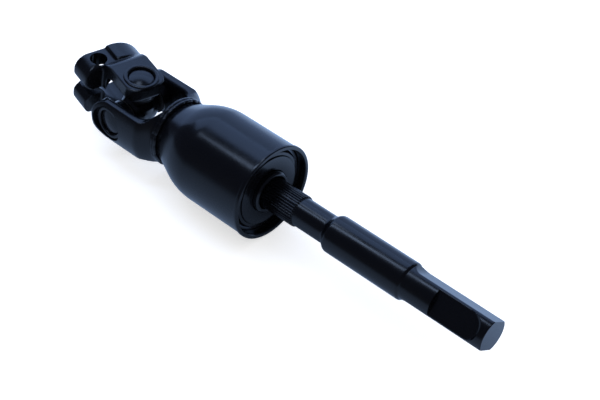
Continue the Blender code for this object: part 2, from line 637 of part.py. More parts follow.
def clamp_side_outline():
    """Returns the clamp yoke's fork seen along its Y: arms, roots and the throat between the arms."""
    outer = [(CLAMP_ARM_END, YOKE_SEAT), (-CLAMP_ARM_ROOT, YOKE_SEAT)]
    drop = YOKE_SEAT - CLAMP_EAR_HEIGHT
    run = CLAMP_HUB_START + CLAMP_HUB_CHAMFER - CLAMP_ARM_ROOT
    for step in range(1, 6):
        share = step / 5
        height = YOKE_SEAT - drop * (1 - math.cos(math.pi * share / 2))
        outer.append((-CLAMP_ARM_ROOT - run * share, height))
    corner = CLAMP_ARM_INNER - CLAMP_THROAT_FILLET
    centre = -CLAMP_THROAT + CLAMP_THROAT_FILLET
    inner = [(CLAMP_ARM_END, CLAMP_ARM_INNER)] + arc((centre, corner), CLAMP_THROAT_FILLET, 90, 180, 5)
    upper = inner[::-1] + outer
    lower = [(station, -height) for station, height in reversed(upper)]
    return upper + lower


def clamp_plan_outline():
    """Returns the clamp yoke's fork seen along its trunnions, with rounded arm ends."""
    corner = CLAMP_ARM_HALF_WIDTH - CLAMP_ARM_CORNER
    centre = CLAMP_ARM_END - CLAMP_ARM_CORNER
    end = arc((centre, -corner), CLAMP_ARM_CORNER, -90, 0, 6) + arc((centre, corner), CLAMP_ARM_CORNER, 0, 90, 6)
    back = -CLAMP_HUB_END
    return end + [(back, CLAMP_ARM_HALF_WIDTH), (back, -CLAMP_ARM_HALF_WIDTH)]


def ear_outline():
    """Returns both ears as one block seen along the clamp's axis, each with a rounded nose."""
    outer = CLAMP_EAR_OUTER_CORNER
    inner = CLAMP_EAR_INNER_CORNER
    upper = arc((outer - CLAMP_EAR_REACH, CLAMP_EAR_HEIGHT - outer), outer, 90, 180, 6)
    upper += arc((inner - CLAMP_EAR_REACH, CLAMP_SLOT / 2 + inner), inner, 180, 250, 4)
    lower = [(y, -z) for y, z in reversed(upper)]
    return [(0, CLAMP_EAR_HEIGHT)] + upper + lower + [(0, -CLAMP_EAR_HEIGHT)]


def ear_side_outline():
    """Returns the ears' block seen along Y, with its front edges rounded."""
    centre = -CLAMP_HUB_START - CLAMP_EAR_ROUNDING
    corner = CLAMP_EAR_HEIGHT - CLAMP_EAR_ROUNDING
    back = -CLAMP_HUB_END - CLAMP_HUB_CHAMFER
    upper = arc((centre, corner), CLAMP_EAR_ROUNDING, 0, 90, 5) + [(back, CLAMP_EAR_HEIGHT)]
    lower = [(station, -height) for station, height in reversed(upper)]
    return upper + lower


def seat_outline(side):
    """Returns the flat seat of a bolt, cut into the barrel as far as a small fillet, above or below."""
    radius = CLAMP_SEAT_INNER / 2
    fillet = arc((-CLAMP_SEAT_INNER - radius, CLAMP_EAR_HEIGHT + radius), radius, -90, 0, 3)
    far = -CLAMP_EAR_REACH * 2
    top = CLAMP_HUB_RADIUS * 2
    outline = [(far, CLAMP_EAR_HEIGHT)] + fillet + [(fillet[-1][0], top), (far, top)]
    return [(y, side * z) for y, z in outline]


def clamp_barrel(wide):
    """Turns the clamp's barrel and cuts the seats of the bolt's head and nut into it."""
    chamfer = CLAMP_HUB_CHAMFER
    barrel = turned("barrel", [
        (-CLAMP_HUB_END, 0), (-CLAMP_HUB_END, CLAMP_HUB_RADIUS - chamfer),
        (-CLAMP_HUB_END + chamfer, CLAMP_HUB_RADIUS), (-CLAMP_HUB_START - chamfer, CLAMP_HUB_RADIUS),
        (-CLAMP_HUB_START, CLAMP_HUB_RADIUS - chamfer), (-CLAMP_HUB_START, 0)], HOUSING_SEGMENTS)
    for side in (1, -1):
        cut(barrel, prism("seat", seat_outline(side), -wide, -CLAMP_HUB_START + chamfer, axes(Y_AXIS, Z_AXIS)))
    return barrel


def make_clamp_yoke(parent, finish):
    """Makes the fork, joins the clamp's barrel and ears, then cuts bore, slot, bolt hole and cup bores."""
    wide = CLAMP_HUB_END * 2
    yoke = prism("clamp_yoke", clamp_side_outline(), -wide, wide, axes(X_AXIS, Z_AXIS))
    combine(yoke, prism("plan", clamp_plan_outline(), -wide, wide), "INTERSECT")
    ears = prism("ears", ear_outline(), -CLAMP_HUB_END, -CLAMP_HUB_START, axes(Y_AXIS, Z_AXIS))
    combine(ears, prism("ear_side", ear_side_outline(), -wide, wide, axes(X_AXIS, Z_AXIS)), "INTERSECT")
    join(yoke, clamp_barrel(wide), ears)
    bore = turned("bore", [(-wide, 0), (-wide, CLAMP_BORE_RADIUS), (0, CLAMP_BORE_RADIUS), (0, 0)], SHAFT_SEGMENTS)
    slot_half = CLAMP_SLOT / 2
    slot = prism("slot", [(-wide, -slot_half), (0, -slot_half), (0, slot_half), (-wide, slot_half)],
                 -wide, -CLAMP_THROAT + CLAMP_HUB_CHAMFER, axes(Y_AXIS, Z_AXIS))
    hole = turned("bolt_hole", [(-wide, 0), (-wide, BOLT_HOLE_RADIUS), (wide, BOLT_HOLE_RADIUS), (wide, 0)],
                  SMALL_SEGMENTS, axes(Z_AXIS, X_AXIS))
    hole_station = -(CLAMP_HUB_START + CLAMP_HUB_END) / 2
    hole.data.transform(Matrix.Translation((hole_station, -BOLT_OFFSET, 0)))
    cut(yoke, bore, slot, hole)
    cup_bore = [(0, 0), (0, CUP_RADIUS + CLEARANCE), (wide, CUP_RADIUS + CLEARANCE), (wide, 0)]
    for direction in (Z_AXIS, -Z_AXIS):
        cut(yoke, turned("cup_bore", cup_bore, SMALL_SEGMENTS, axes(direction, X_AXIS)))
        join(yoke, stake_ring(direction))
    clean_facets(yoke)
    return settle(yoke, parent, finish)


def main():
    clear_scene()
    black = paint("black_paint", (0.010, 0.012, 0.020), 0.22, 0.0)
    steel = paint("bearing_steel", (0.05, 0.06, 0.08), 0.3, 0.6)
    rubber = paint("black_rubber", (0.012, 0.012, 0.013), 0.7, 0.0)
    centre = add_empty("joint_centre", (-TIP_STATION, 0, 0))
    housing_centre = add_empty("housing_frame", (0, 0, 0), centre)
    cross_centre = add_empty("cross_frame", (0, 0, 0), housing_centre, (0, BEND_ABOUT_Y, 0))
    clamp_centre = add_empty("clamp_frame", (0, 0, 0), cross_centre, (0, 0, BEND_ABOUT_CLAMP))
    make_shaft(centre, black)
    make_housing(housing_centre, black)
    make_housing_yoke(housing_centre, black)
    make_isolator(centre, housing_centre, black, rubber)
    make_cross(cross_centre, black)
    make_bearings(cross_centre, steel, rubber)
    make_clamp_yoke(clamp_centre, black)


main()
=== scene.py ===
import math

import bmesh
import bpy
import numpy as np
from mathutils import Matrix, Vector


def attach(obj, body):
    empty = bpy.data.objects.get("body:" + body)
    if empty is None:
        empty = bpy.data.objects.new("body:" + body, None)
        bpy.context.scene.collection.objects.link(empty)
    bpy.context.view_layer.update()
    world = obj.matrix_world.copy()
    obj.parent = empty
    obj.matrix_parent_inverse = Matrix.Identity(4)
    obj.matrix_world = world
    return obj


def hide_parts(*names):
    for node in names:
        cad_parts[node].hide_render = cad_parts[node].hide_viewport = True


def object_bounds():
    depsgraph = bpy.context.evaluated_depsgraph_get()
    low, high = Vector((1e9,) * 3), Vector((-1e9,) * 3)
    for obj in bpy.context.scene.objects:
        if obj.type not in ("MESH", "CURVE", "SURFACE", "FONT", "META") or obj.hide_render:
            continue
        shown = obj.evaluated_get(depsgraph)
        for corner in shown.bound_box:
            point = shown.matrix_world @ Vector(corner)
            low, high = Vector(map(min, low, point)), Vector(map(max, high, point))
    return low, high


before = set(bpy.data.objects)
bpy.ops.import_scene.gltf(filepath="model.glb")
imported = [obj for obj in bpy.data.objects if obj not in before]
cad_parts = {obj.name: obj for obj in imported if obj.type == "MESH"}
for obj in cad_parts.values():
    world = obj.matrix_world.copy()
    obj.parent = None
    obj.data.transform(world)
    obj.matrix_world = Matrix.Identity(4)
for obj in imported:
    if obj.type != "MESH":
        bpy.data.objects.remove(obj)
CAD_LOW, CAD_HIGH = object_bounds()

# Looks of the steering column shaft: fine pieces over the CAD frame, their finishes, the floor and the light.
# Lengths along the shaft are stations, counted from the centre of the joint's cross towards the tip.

MM = 0.001
CLEARANCE = 0.3 * MM

# Camera, fitted to the photo's outlines
CAMERA_PLACE = (0.2112, -0.3778, 0.4400)
CAMERA_AZIMUTH = math.radians(40.81)
CAMERA_ELEVATION = math.radians(40.97)
CAMERA_ROLL = math.radians(-3.35)
CAMERA_LENS = 84.0

# Stage: where along X its middle lies, and the floor, which glows a little so that it is white to the camera
STAGE_MIDDLE = -0.13
WHITE = "#ffffff"
FLOOR_REACH = 6.0
FLOOR_GAP = 0.2 * MM
FLOOR_GLOW = 0.55
FLOOR_DULLNESS = 0.9
ROOM_STRENGTH = 0.6
DARK_ROOM_COLOR = "#383e50"

# Floor in reflections: a glow of painted light, tinted cool like the lamps, with painted shade in front of
# the part, brighter behind it, and a painted shadow of the housing's mouth
PAINTED_FLOOR_LIGHT_COLOR = "#b0cfff"
PAINTED_FRONT_SHADE = {"From_Min": -0.45, "From_Max": -0.05, "To_Min": 0.18, "To_Max": 0.55}
PAINTED_BACK_LIGHT = {"From_Min": -0.01, "From_Max": 0.05, "To_Min": 0.0, "To_Max": 0.95}
PAINTED_MOUTH_SHADOW = {"From_Min": 0.008, "From_Max": 0.055, "To_Min": 0.1}

# Lamps, all a cool white: two strips over the part, a softbox over the back of the stage and a bright wall.
# A place is in the part's frame, and a spot is to the camera's right, away from it and up.
STRIP_COLOR = "#bcd6ff"
STRIP_TURN = math.radians(32)
STRIP_PLACE = (-0.2373, -0.043, 0.30)
STRIP_SIZE = (0.30, 0.045)
STRIP_RADIANCE = 4.4
SIDE_STRIP_PLACE = (-0.269, 0.038, 0.30)
SIDE_STRIP_SIZE = (0.06, 0.045)
SIDE_STRIP_RADIANCE = 3.6
WALL_COLOR = "#9fc2ff"
WALL_SPOT = (0.0, 1.6, 0.7)
WALL_SIZE = (3.5, 1.4)
WALL_RADIANCE = 0.95
OVERHEAD_SPOT = (-0.2, 0.86, 1.0)
OVERHEAD_SIZE = (1.6, 0.7)
OVERHEAD_RADIANCE = 1.5

# Finishes: noise scales are waves in a metre, so 60, 70, 420, 700 and 900 are 17, 14, 2.4, 1.4 and 1.1 mm
ENAMEL_COLOR = "#05060a"
ENAMEL_HAZE = 0.08
HAZE_SCALE = 60.0
WAVE_SCALE = 70.0
PEEL_SCALE = 420.0
GRINDING_SCALE = 700.0
RUBBER_GRAIN_SCALE = 900.0
RUBBER_GRAIN_HEIGHT = 0.02 * MM

# Cross and its bearings, with lengths along a trunnion counted from the cross centre
CROSS_SHOULDER = 8.6 * MM
CROSS_ARM_RADIUS = 6.8 * MM
CROSS_HUB_RADIUS = 8.6 * MM
TRUNNION_RADIUS = 4.5 * MM
NEEDLE_RADIUS = 0.95 * MM
NEEDLE_PITCH_RADIUS = TRUNNION_RADIUS + CLEARANCE + NEEDLE_RADIUS
CUP_WALL = 1.0 * MM
CUP_BORE_RADIUS = NEEDLE_PITCH_RADIUS + NEEDLE_RADIUS + CLEARANCE
CUP_RADIUS = CUP_BORE_RADIUS + CUP_WALL
CUP_OPEN_END = 10.3 * MM
CUP_FACE = 19.6 * MM
CUP_FLOOR = 1.6 * MM
CUP_DOME = 1.1 * MM
CUP_BEVEL = 1.8 * MM
CUP_FACE_RADIUS = CUP_RADIUS - CUP_BEVEL
CUP_EDGE_DROP = 1.2 * MM
CUP_EDGE_BREAK = 0.3 * MM
SEAL_THICKNESS = 1.1 * MM

# Staking that holds a cup in a yoke
STAKE_OVERHANG = 1.1 * MM
STAKE_WIDTH = 2.3 * MM
STAKE_HEIGHT = 0.8 * MM
STAKE_SINK = 0.1 * MM
STAKE_LIFT = 1.3 * CLEARANCE
STAKE_INNER_RADIUS = CUP_RADIUS - STAKE_OVERHANG
STAKE_OUTER_RADIUS = STAKE_INNER_RADIUS + STAKE_WIDTH

# Housing yoke: two arms on a round base
YOKE_SEAT = CUP_FACE + 0.4 * MM
YOKE_BOSS_HEIGHT = 3.0 * MM
YOKE_RADIUS = YOKE_SEAT + YOKE_BOSS_HEIGHT
YOKE_SEAT_RADIUS = STAKE_OUTER_RADIUS + 0.5 * MM
YOKE_EYE_WALL = 4.0 * MM
YOKE_ARM_END_RADIUS = CUP_RADIUS + YOKE_EYE_WALL
YOKE_ARM_HALF_WIDTH = YOKE_ARM_END_RADIUS - 0.4 * MM
YOKE_ARM_INNER = 15.0 * MM
YOKE_THROAT = 22.0 * MM
YOKE_THROAT_FILLET = 5.0 * MM
YOKE_INNER_ROUNDING = 2.6 * MM
YOKE_TIP_ROUNDING = 2.6 * MM
YOKE_BASE_START = 20.0 * MM
YOKE_BASE_END = 30.3 * MM

# Housing: a drawn shell with a neck, a cone, a rounded shoulder and a beaded rim
HOUSING_RADIUS = 25.0 * MM
HOUSING_WALL = 1.9 * MM
HOUSING_NECK_RADIUS = 17.0 * MM
HOUSING_NECK_STRAIGHT = 0.35 * MM
HOUSING_NECK_FILLET = 8.0 * MM
HOUSING_CONE_ANGLE = math.radians(24)
HOUSING_SHOULDER_RADIUS = 34.7 * MM
HOUSING_CYLINDER_LENGTH = 37.6 * MM
HOUSING_NECK_START = YOKE_BASE_END + CLEARANCE
HOUSING_BENDS = HOUSING_NECK_FILLET + HOUSING_SHOULDER_RADIUS
HOUSING_CONE_RISE = HOUSING_RADIUS - HOUSING_NECK_RADIUS - HOUSING_BENDS * (1 - math.cos(HOUSING_CONE_ANGLE))
HOUSING_CONE_LENGTH = HOUSING_CONE_RISE / math.tan(HOUSING_CONE_ANGLE)
HOUSING_FILLET_START = HOUSING_NECK_START + HOUSING_NECK_STRAIGHT
HOUSING_SHOULDER_END = (HOUSING_FILLET_START + HOUSING_CONE_LENGTH
                        + HOUSING_BENDS * math.sin(HOUSING_CONE_ANGLE))
RIM_STATION = HOUSING_SHOULDER_END + HOUSING_CYLINDER_LENGTH
RIM_BEAD_HEIGHT = 0.4 * MM
RIM_BEAD_LENGTH = 2.2 * MM
RIM_ROUNDING = 0.7 * MM

# Weld bead between the yoke's base and the housing's neck, and the spigot under the neck
WELD_WIDTH = 3.0 * MM
WELD_STATION = YOKE_BASE_END - WELD_WIDTH / 2
WELD_RADIUS = HOUSING_NECK_RADIUS + 1.3 * MM
YOKE_BASE_TOP_RADIUS = HOUSING_NECK_RADIUS + 0.6 * MM
SPIGOT_RADIUS = HOUSING_NECK_RADIUS - HOUSING_WALL - CLEARANCE
SPIGOT_LENGTH = 5.0 * MM
WELD_RIPPLES = 58
WELD_RIDGE_GAP = 1.9 * MM
WELD_RIPPLE_HALVES = (WELD_WIDTH * 0.38, WELD_WIDTH * 0.32, WELD_WIDTH * 0.9)
WELD_RIPPLE_SINK = WELD_WIDTH * 0.16
WELD_VARIATION = 0.022

# Shaft: its radii and the lengths of its stretches
SPLINE_TEETH = 36
SPLINE_RADIUS = 8.22 * MM
SPLINE_DEPTH = 0.72 * MM
SPLINE_ROOT_RADIUS = SPLINE_RADIUS - SPLINE_DEPTH
SPLINE_CHAMFER = 0.8 * MM
TOOTH_HALF_WIDTH = 0.36
NECK_RADIUS = SPLINE_ROOT_RADIUS - 0.07 * MM
THICK_RADIUS = 9.7 * MM
THICK_STEP = 0.75 * MM
THICK_ROUNDING = 1.6 * MM
TIP_RADIUS = THICK_RADIUS - THICK_STEP
TIP_CHAMFER = 0.35 * MM
SPLINE_END = RIM_STATION + 19.4 * MM
SHOULDER_START = SPLINE_END + 17.0 * MM
SHOULDER_END = SHOULDER_START + 5.0 * MM
THICK_END = SHOULDER_END + 43.0 * MM
TIP_STATION = THICK_END + 48.0 * MM

# Rubber isolator in the housing, with its two sleeves and its end disc
ISOLATOR_START = HOUSING_SHOULDER_END + 3.0 * MM
ISOLATOR_END = RIM_STATION - 5.2 * MM
ISOLATOR_OUTER_WALL = 1.5 * MM
RUBBER_HOLLOW = 3.0 * MM
SLEEVE_BORE_RADIUS = SPLINE_RADIUS + CLEARANCE
SLEEVE_WALL = 2.48 * MM
SLEEVE_RADIUS = SLEEVE_BORE_RADIUS + SLEEVE_WALL
SLEEVE_CHAMFER = 0.8 * MM
SLEEVE_START = ISOLATOR_START - 1.0 * MM
SHAFT_INNER_END = SLEEVE_START - 2.0 * MM
DISC_RADIUS = HOUSING_RADIUS - HOUSING_WALL - 2.5 * MM
DISC_STEP_RADIUS = DISC_RADIUS - 2.2 * MM
DISC_STEP = 0.8 * MM
DISC_THICKNESS = 1.8 * MM
DISC_RECESS = 2.8 * MM

# Two flats of the tip, and the notch for the pinch bolt of the mating yoke. UNCUT is past the bar's surface.
FLAT_DISTANCE = TIP_RADIUS - 1.75 * MM
FLAT_ANGLE = math.radians(55.8)
FLAT_START = THICK_END + 6.5 * MM
FLAT_CUTTER_RADIUS = 8.0 * MM
NOTCH_DISTANCE = TIP_RADIUS - 2.75 * MM
NOTCH_ANGLE = FLAT_ANGLE + math.radians(90)
NOTCH_START = THICK_END + 18.6 * MM
NOTCH_END = TIP_STATION - 3.4 * MM
NOTCH_CUTTER_RADIUS = 8.2 * MM
NOTCH_CUTTER_CORNER = 2.2 * MM
NOTCH_WALL_SLOPE = 8
NOTCH_ROUNDS = 6
LEAST_FACING = 0.2
UNCUT = 3 * THICK_RADIUS

# Clamp yoke: its own frame has X towards the tip when the joint is straight
CLAMP_ARM_INNER = 12.5 * MM
CLAMP_ARM_HALF_WIDTH = CUP_RADIUS + 2.7 * MM
CLAMP_ARM_END = CUP_RADIUS + 0.6 * MM
CLAMP_ARM_CORNER = 6.0 * MM
CLAMP_ARM_ROOT = 12.0 * MM
CLAMP_THROAT = 16.5 * MM
CLAMP_THROAT_FILLET = 6.0 * MM
CLAMP_HUB_RADIUS = 17.7 * MM
CLAMP_HUB_START = 19.5 * MM
CLAMP_HUB_END = 32.0 * MM
CLAMP_HUB_CHAMFER = 0.8 * MM
CLAMP_BORE_RADIUS = 10.6 * MM
CLAMP_EAR_REACH = 20.9 * MM
CLAMP_EAR_HEIGHT = 15.7 * MM
CLAMP_EAR_OUTER_CORNER = 7.7 * MM
CLAMP_EAR_INNER_CORNER = 5.0 * MM
CLAMP_EAR_ROUNDING = 4.0 * MM
CLAMP_SEAT_INNER = 2.6 * MM
CLAMP_SLOT = 4.0 * MM
BOLT_HOLE_RADIUS = 4.5 * MM
BOLT_OFFSET = 10.1 * MM

# Fineness of the visible pieces. An edge break takes up no more than a side's length over SIDE_SHARE.
EDGE_BREAK = 0.18 * MM
SHARP_CORNER = math.radians(20)
SIDE_SHARE = 2.2
SHAFT_SIDES = 256
HOUSING_SIDES = 256
CUP_SIDES = 96
FORGING_VOXEL = 0.42 * MM
FORGING_SMOOTHING = 8

# The pose in which the joint rests, the frames of its parts, and the spot of the floor's painted shadow under
# the housing's mouth
BEND_ABOUT_Y = math.radians(7.6)
BEND_ABOUT_CLAMP = math.radians(-12.0)
JOINT_FRAME = Matrix.Translation((-TIP_STATION, 0, 0))
CROSS_FRAME = JOINT_FRAME @ Matrix.Rotation(BEND_ABOUT_Y, 4, "Y")
CLAMP_FRAME = CROSS_FRAME @ Matrix.Rotation(BEND_ABOUT_CLAMP, 4, "Z")
PAINTED_SHADOW_SPOT = (RIM_STATION - TIP_STATION + 7 * MM, 18 * MM, CAD_LOW.z)

X_AXIS = Vector((1, 0, 0))
Y_AXIS = Vector((0, 1, 0))
Z_AXIS = Vector((0, 0, 1))


def axes(first, second):
    """Returns the turn that lays a drawing's own X and Y along two given directions."""
    third = first.cross(second)
    return Matrix((first, second, third)).transposed().to_4x4()


def arc(centre, radius, start, end, count):
    """Returns points of a circular arc, from one angle in degrees to another."""
    points = []
    for step in range(count + 1):
        angle = math.radians(start + (end - start) * step / count)
        points.append((centre[0] + radius * math.cos(angle), centre[1] + radius * math.sin(angle)))
    return points


def break_edges(points, radius, closed=True, steps=4):
    """Rounds the sharp corners of an outline, as paint and handling leave an edge."""
    rounded = []
    count = len(points)
    for index, point in enumerate(points):
        here = Vector(point)
        before = Vector(points[index - 1]) - here
        after = Vector(points[(index + 1) % count]) - here
        end = not closed and index in (0, count - 1)
        turn = 0.0 if end else math.pi - before.angle(after)
        if turn < SHARP_CORNER:
            rounded.append(point)
            continue
        reach = min(radius * math.tan(turn / 2), before.length / SIDE_SHARE, after.length / SIDE_SHARE)
        first = here + before.normalized() * reach
        last = here + after.normalized() * reach
        for step in range(steps + 1):
            t = step / steps
            spot = first * (1 - t) ** 2 + here * (2 * t * (1 - t)) + last * t ** 2
            rounded.append((spot.x, spot.y))
    return rounded


def finish_mesh(bm, name, turn):
    """Closes the seams of a mesh, turns its faces outwards and makes it an object."""
    bmesh.ops.remove_doubles(bm, verts=bm.verts, dist=0.001 * MM)
    bmesh.ops.recalc_face_normals(bm, faces=bm.faces)
    bm.transform(turn)
    mesh = bpy.data.meshes.new(name)
    bm.to_mesh(mesh)
    bm.free()
    piece = bpy.data.objects.new(name, mesh)
    bpy.context.collection.objects.link(piece)
    return piece


def turned(name, profile, sides, turn=Matrix.Identity(4)):
    """Spins a profile of (place along the axis, radius) about X, as a lathe would cut it."""
    bm = bmesh.new()
    corners = [bm.verts.new((along, radius, 0)) for along, radius in profile]
    solid = profile[0][1] == 0
    following = corners[1:] if solid else corners[1:] + corners[:1]
    edges = [bm.edges.new(pair) for pair in zip(corners, following)]
    bmesh.ops.spin(bm, geom=edges, cent=(0, 0, 0), axis=(1, 0, 0), angle=2 * math.pi, steps=sides,
                   use_merge=True)
    return finish_mesh(bm, name, turn)


def prism(name, outline, low, high, turn=Matrix.Identity(4)):
    """Extrudes a closed outline from one height to another."""
    bm = bmesh.new()
    face = bm.faces.new([bm.verts.new((u, v, low)) for u, v in outline])
    extruded = bmesh.ops.extrude_face_region(bm, geom=[face])
    moved = [item for item in extruded["geom"] if isinstance(item, bmesh.types.BMVert)]
    bmesh.ops.translate(bm, vec=(0, 0, high - low), verts=moved)
    return finish_mesh(bm, name, turn)


def loft(name, rings, turn=Matrix.Identity(4)):
    """Skins rings of points that match one to one, and caps the two ends."""
    bm = bmesh.new()
    loops = [[bm.verts.new(point) for point in ring] for ring in rings]
    count = len(rings[0])
    for ring, following in zip(loops, loops[1:]):
        for index in range(count):
            after = (index + 1) % count
            bm.faces.new((ring[index], ring[after], following[after], following[index]))
    bm.faces.new(loops[0])
    bm.faces.new(loops[-1])
    return finish_mesh(bm, name, turn)


def apply_modifiers(piece):
    depsgraph = bpy.context.evaluated_depsgraph_get()
    shaped = bpy.data.meshes.new_from_object(piece.evaluated_get(depsgraph))
    piece.modifiers.clear()
    piece.data = shaped
    return piece


def combine(target, tool, operation):
    """Joins, cuts or intersects a piece with a tool shape, which is used up."""
    modifier = target.modifiers.new(operation.lower(), "BOOLEAN")
    modifier.operation = operation
    modifier.solver = "EXACT"
    modifier.object = tool
    apply_modifiers(target)
    bpy.data.objects.remove(tool, do_unlink=True)
    return target


def forge(piece):
    """Rounds a blank's edges and blends its corners, as a forging die does."""
    remesh = piece.modifiers.new("remesh", "REMESH")
    remesh.mode = "VOXEL"
    remesh.voxel_size = FORGING_VOXEL
    smooth = piece.modifiers.new("smooth", "SMOOTH")
    smooth.factor = 0.5
    smooth.iterations = FORGING_SMOOTHING
    return apply_modifiers(piece)


def settle(piece, body, material, *replaced, slot=None, sharp=32.0):
    """Gives a finished piece its body, finish and smooth shading."""
    piece.data.name = piece.name
    piece.data.materials.clear()
    piece.data.materials.append(material)
    piece.data.shade_smooth()
    piece.data.set_sharp_from_angle(angle=math.radians(sharp))
    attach(piece, body)
    if replaced:
        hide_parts(*replaced)
    return piece


def place(piece, frame_matrix):
    piece.data.transform(frame_matrix)
    return piece


# Finishes

def linear(hex_color):
    """Turns an sRGB hex colour into a linear one."""
    channels = []
    for start in (1, 3, 5):
        value = int(hex_color[start:start + 2], 16) / 255
        channels.append(value / 12.92 if value <= 0.04045 else ((value + 0.055) / 1.055) ** 2.4)
    return (*channels, 1.0)


def add_node(tree, kind, linked=(), **settings):
    """Adds a node with its links and settings. A setting with a capital is an input, else a property."""
    node = tree.nodes.new(kind)
    for name, value in settings.items():
        key = name.replace("_", " ")
        if name[0].isupper() and key in node.inputs:
            node.inputs[key].default_value = value
        else:
            setattr(node, name, value)
    for place_in_node, socket in linked:
        tree.links.new(socket, node.inputs[place_in_node])
    return node


def new_material(name, color):
    material = bpy.data.materials.new(name)
    material.use_nodes = True
    tree = material.node_tree
    shader = tree.nodes["Principled BSDF"]
    shader.inputs["Base Color"].default_value = linear(color)
    return material, tree, shader


def black_enamel(name, roughness, peel_height):
    """Black enamel over forged or drawn steel: a dark gloss coat with orange peel and a little haze."""
    material, tree, shader = new_material(name, ENAMEL_COLOR)
    on_piece = [("Vector", add_node(tree, "ShaderNodeTexCoord").outputs["Object"])]
    haze = add_node(tree, "ShaderNodeTexNoise", on_piece, Scale=HAZE_SCALE, Detail=4.0, Roughness=0.6)
    wave = add_node(tree, "ShaderNodeTexNoise", on_piece, Scale=WAVE_SCALE, Detail=1.0, Roughness=0.5)
    peel = add_node(tree, "ShaderNodeTexNoise", on_piece, Scale=PEEL_SCALE, Detail=2.0, Roughness=0.5)
    haze_range = add_node(tree, "ShaderNodeMapRange", [("Value", haze.outputs["Fac"])],
                          From_Min=0.35, From_Max=0.7, To_Min=roughness, To_Max=roughness + ENAMEL_HAZE)
    wave_bump = add_node(tree, "ShaderNodeBump", [("Height", wave.outputs["Fac"])],
                         Strength=1.0, Distance=peel_height * 2)
    peel_bump = add_node(tree, "ShaderNodeBump",
                         [("Height", peel.outputs["Fac"]), ("Normal", wave_bump.outputs["Normal"])],
                         Strength=1.0, Distance=peel_height)
    tree.links.new(haze_range.outputs["Result"], shader.inputs["Roughness"])
    tree.links.new(peel_bump.outputs["Normal"], shader.inputs["Normal"])
    return material


def black_rubber():
    """Moulded rubber: dull, with a fine grain."""
    material, tree, shader = new_material("black_rubber_moulded", "#141416")
    on_piece = [("Vector", add_node(tree, "ShaderNodeTexCoord").outputs["Object"])]
    grain = add_node(tree, "ShaderNodeTexNoise", on_piece, Scale=RUBBER_GRAIN_SCALE, Detail=3.0)
    grain_range = add_node(tree, "ShaderNodeMapRange", [("Value", grain.outputs["Fac"])],
                           To_Min=0.55, To_Max=0.8)
    bump = add_node(tree, "ShaderNodeBump", [("Height", grain.outputs["Fac"])],
                    Strength=1.0, Distance=RUBBER_GRAIN_HEIGHT)
    tree.links.new(grain_range.outputs["Result"], shader.inputs["Roughness"])
    tree.links.new(bump.outputs["Normal"], shader.inputs["Normal"])
    return material


def bearing_steel():
    """Hardened and ground steel of the needles and the sleeve inside: fine grinding lines under oil."""
    material, tree, shader = new_material("bearing_steel_oiled", "#8b9097")
    shader.inputs["Metallic"].default_value = 1.0
    on_piece = [("Vector", add_node(tree, "ShaderNodeTexCoord").outputs["Object"])]
    lines = add_node(tree, "ShaderNodeTexNoise", on_piece, Scale=GRINDING_SCALE, Detail=4.0)
    line_range = add_node(tree, "ShaderNodeMapRange", [("Value", lines.outputs["Fac"])],
                          To_Min=0.22, To_Max=0.4)
    tree.links.new(line_range.outputs["Result"], shader.inputs["Roughness"])
    return material


# Shaft

def smooth_min(first, second, width):
    """Takes the smaller of two heights, with a small rounding where they meet."""
    share = np.clip(0.5 + 0.5 * (second - first) / width, 0, 1)
    return second * (1 - share) + first * share - width * share * (1 - share)


def turned_radius(stations):
    """Returns the shaft's turned radius at each station, which under the spline's teeth is their root."""
    rise = THICK_RADIUS - NECK_RADIUS
    length = SHOULDER_END - SHOULDER_START
    radius = (length ** 2 / rise + rise) / 4
    found = np.full(len(stations), NECK_RADIUS)
    foot = (stations > SHOULDER_START) & (stations <= SHOULDER_START + length / 2)
    found[foot] = NECK_RADIUS + radius - np.sqrt(radius ** 2 - (stations[foot] - SHOULDER_START) ** 2)
    crown = (stations > SHOULDER_START + length / 2) & (stations <= SHOULDER_END)
    found[crown] = THICK_RADIUS - radius + np.sqrt(radius ** 2 - (SHOULDER_END - stations[crown]) ** 2)
    found[stations > SHOULDER_END] = THICK_RADIUS
    end_radius = (THICK_ROUNDING ** 2 + THICK_STEP ** 2) / (2 * THICK_STEP)
    end = stations > THICK_END
    run = np.minimum(stations[end] - THICK_END, THICK_ROUNDING)
    found[end] = THICK_RADIUS - end_radius + np.sqrt(end_radius ** 2 - run ** 2)
    tip = stations > TIP_STATION - TIP_CHAMFER
    found[tip] = TIP_RADIUS - (stations[tip] - TIP_STATION + TIP_CHAMFER)
    found[stations < SPLINE_END] = SPLINE_ROOT_RADIUS
    return found


def flat_reach(stations, facing):
    """Returns how far each ray runs to a milled flat, with the cutter's radius where the flat runs out."""
    run = np.clip(FLAT_START - stations, 0, FLAT_CUTTER_RADIUS)
    height = FLAT_DISTANCE + FLAT_CUTTER_RADIUS - np.sqrt(FLAT_CUTTER_RADIUS ** 2 - run ** 2)
    return height[:, None] / facing[None, :]


def notch_reach(stations, facing):
    """Returns how far each ray runs to the bolt notch, square at its start and end-milled near the tip."""
    mill_station = NOTCH_END - NOTCH_CUTTER_RADIUS
    run = np.clip(stations - mill_station, 0, None)[:, None]
    slant = np.sqrt(np.clip(1 - facing ** 2, 0, None))[None, :]
    flat_part = NOTCH_CUTTER_RADIUS - NOTCH_CUTTER_CORNER
    reach = NOTCH_DISTANCE / facing[None, :] * np.ones_like(run)
    for _ in range(NOTCH_ROUNDS):
        from_mill = np.sqrt(run ** 2 + (reach * slant) ** 2 * (run > 0))
        inside = np.clip(from_mill - flat_part, 0, NOTCH_CUTTER_CORNER)
        height = NOTCH_DISTANCE + NOTCH_CUTTER_CORNER - np.sqrt(NOTCH_CUTTER_CORNER ** 2 - inside ** 2)
        height += NOTCH_WALL_SLOPE * np.clip(from_mill - NOTCH_CUTTER_RADIUS, 0, None)
        reach = np.minimum(height / facing[None, :], UNCUT)
    reach[stations < NOTCH_START] = UNCUT
    return reach


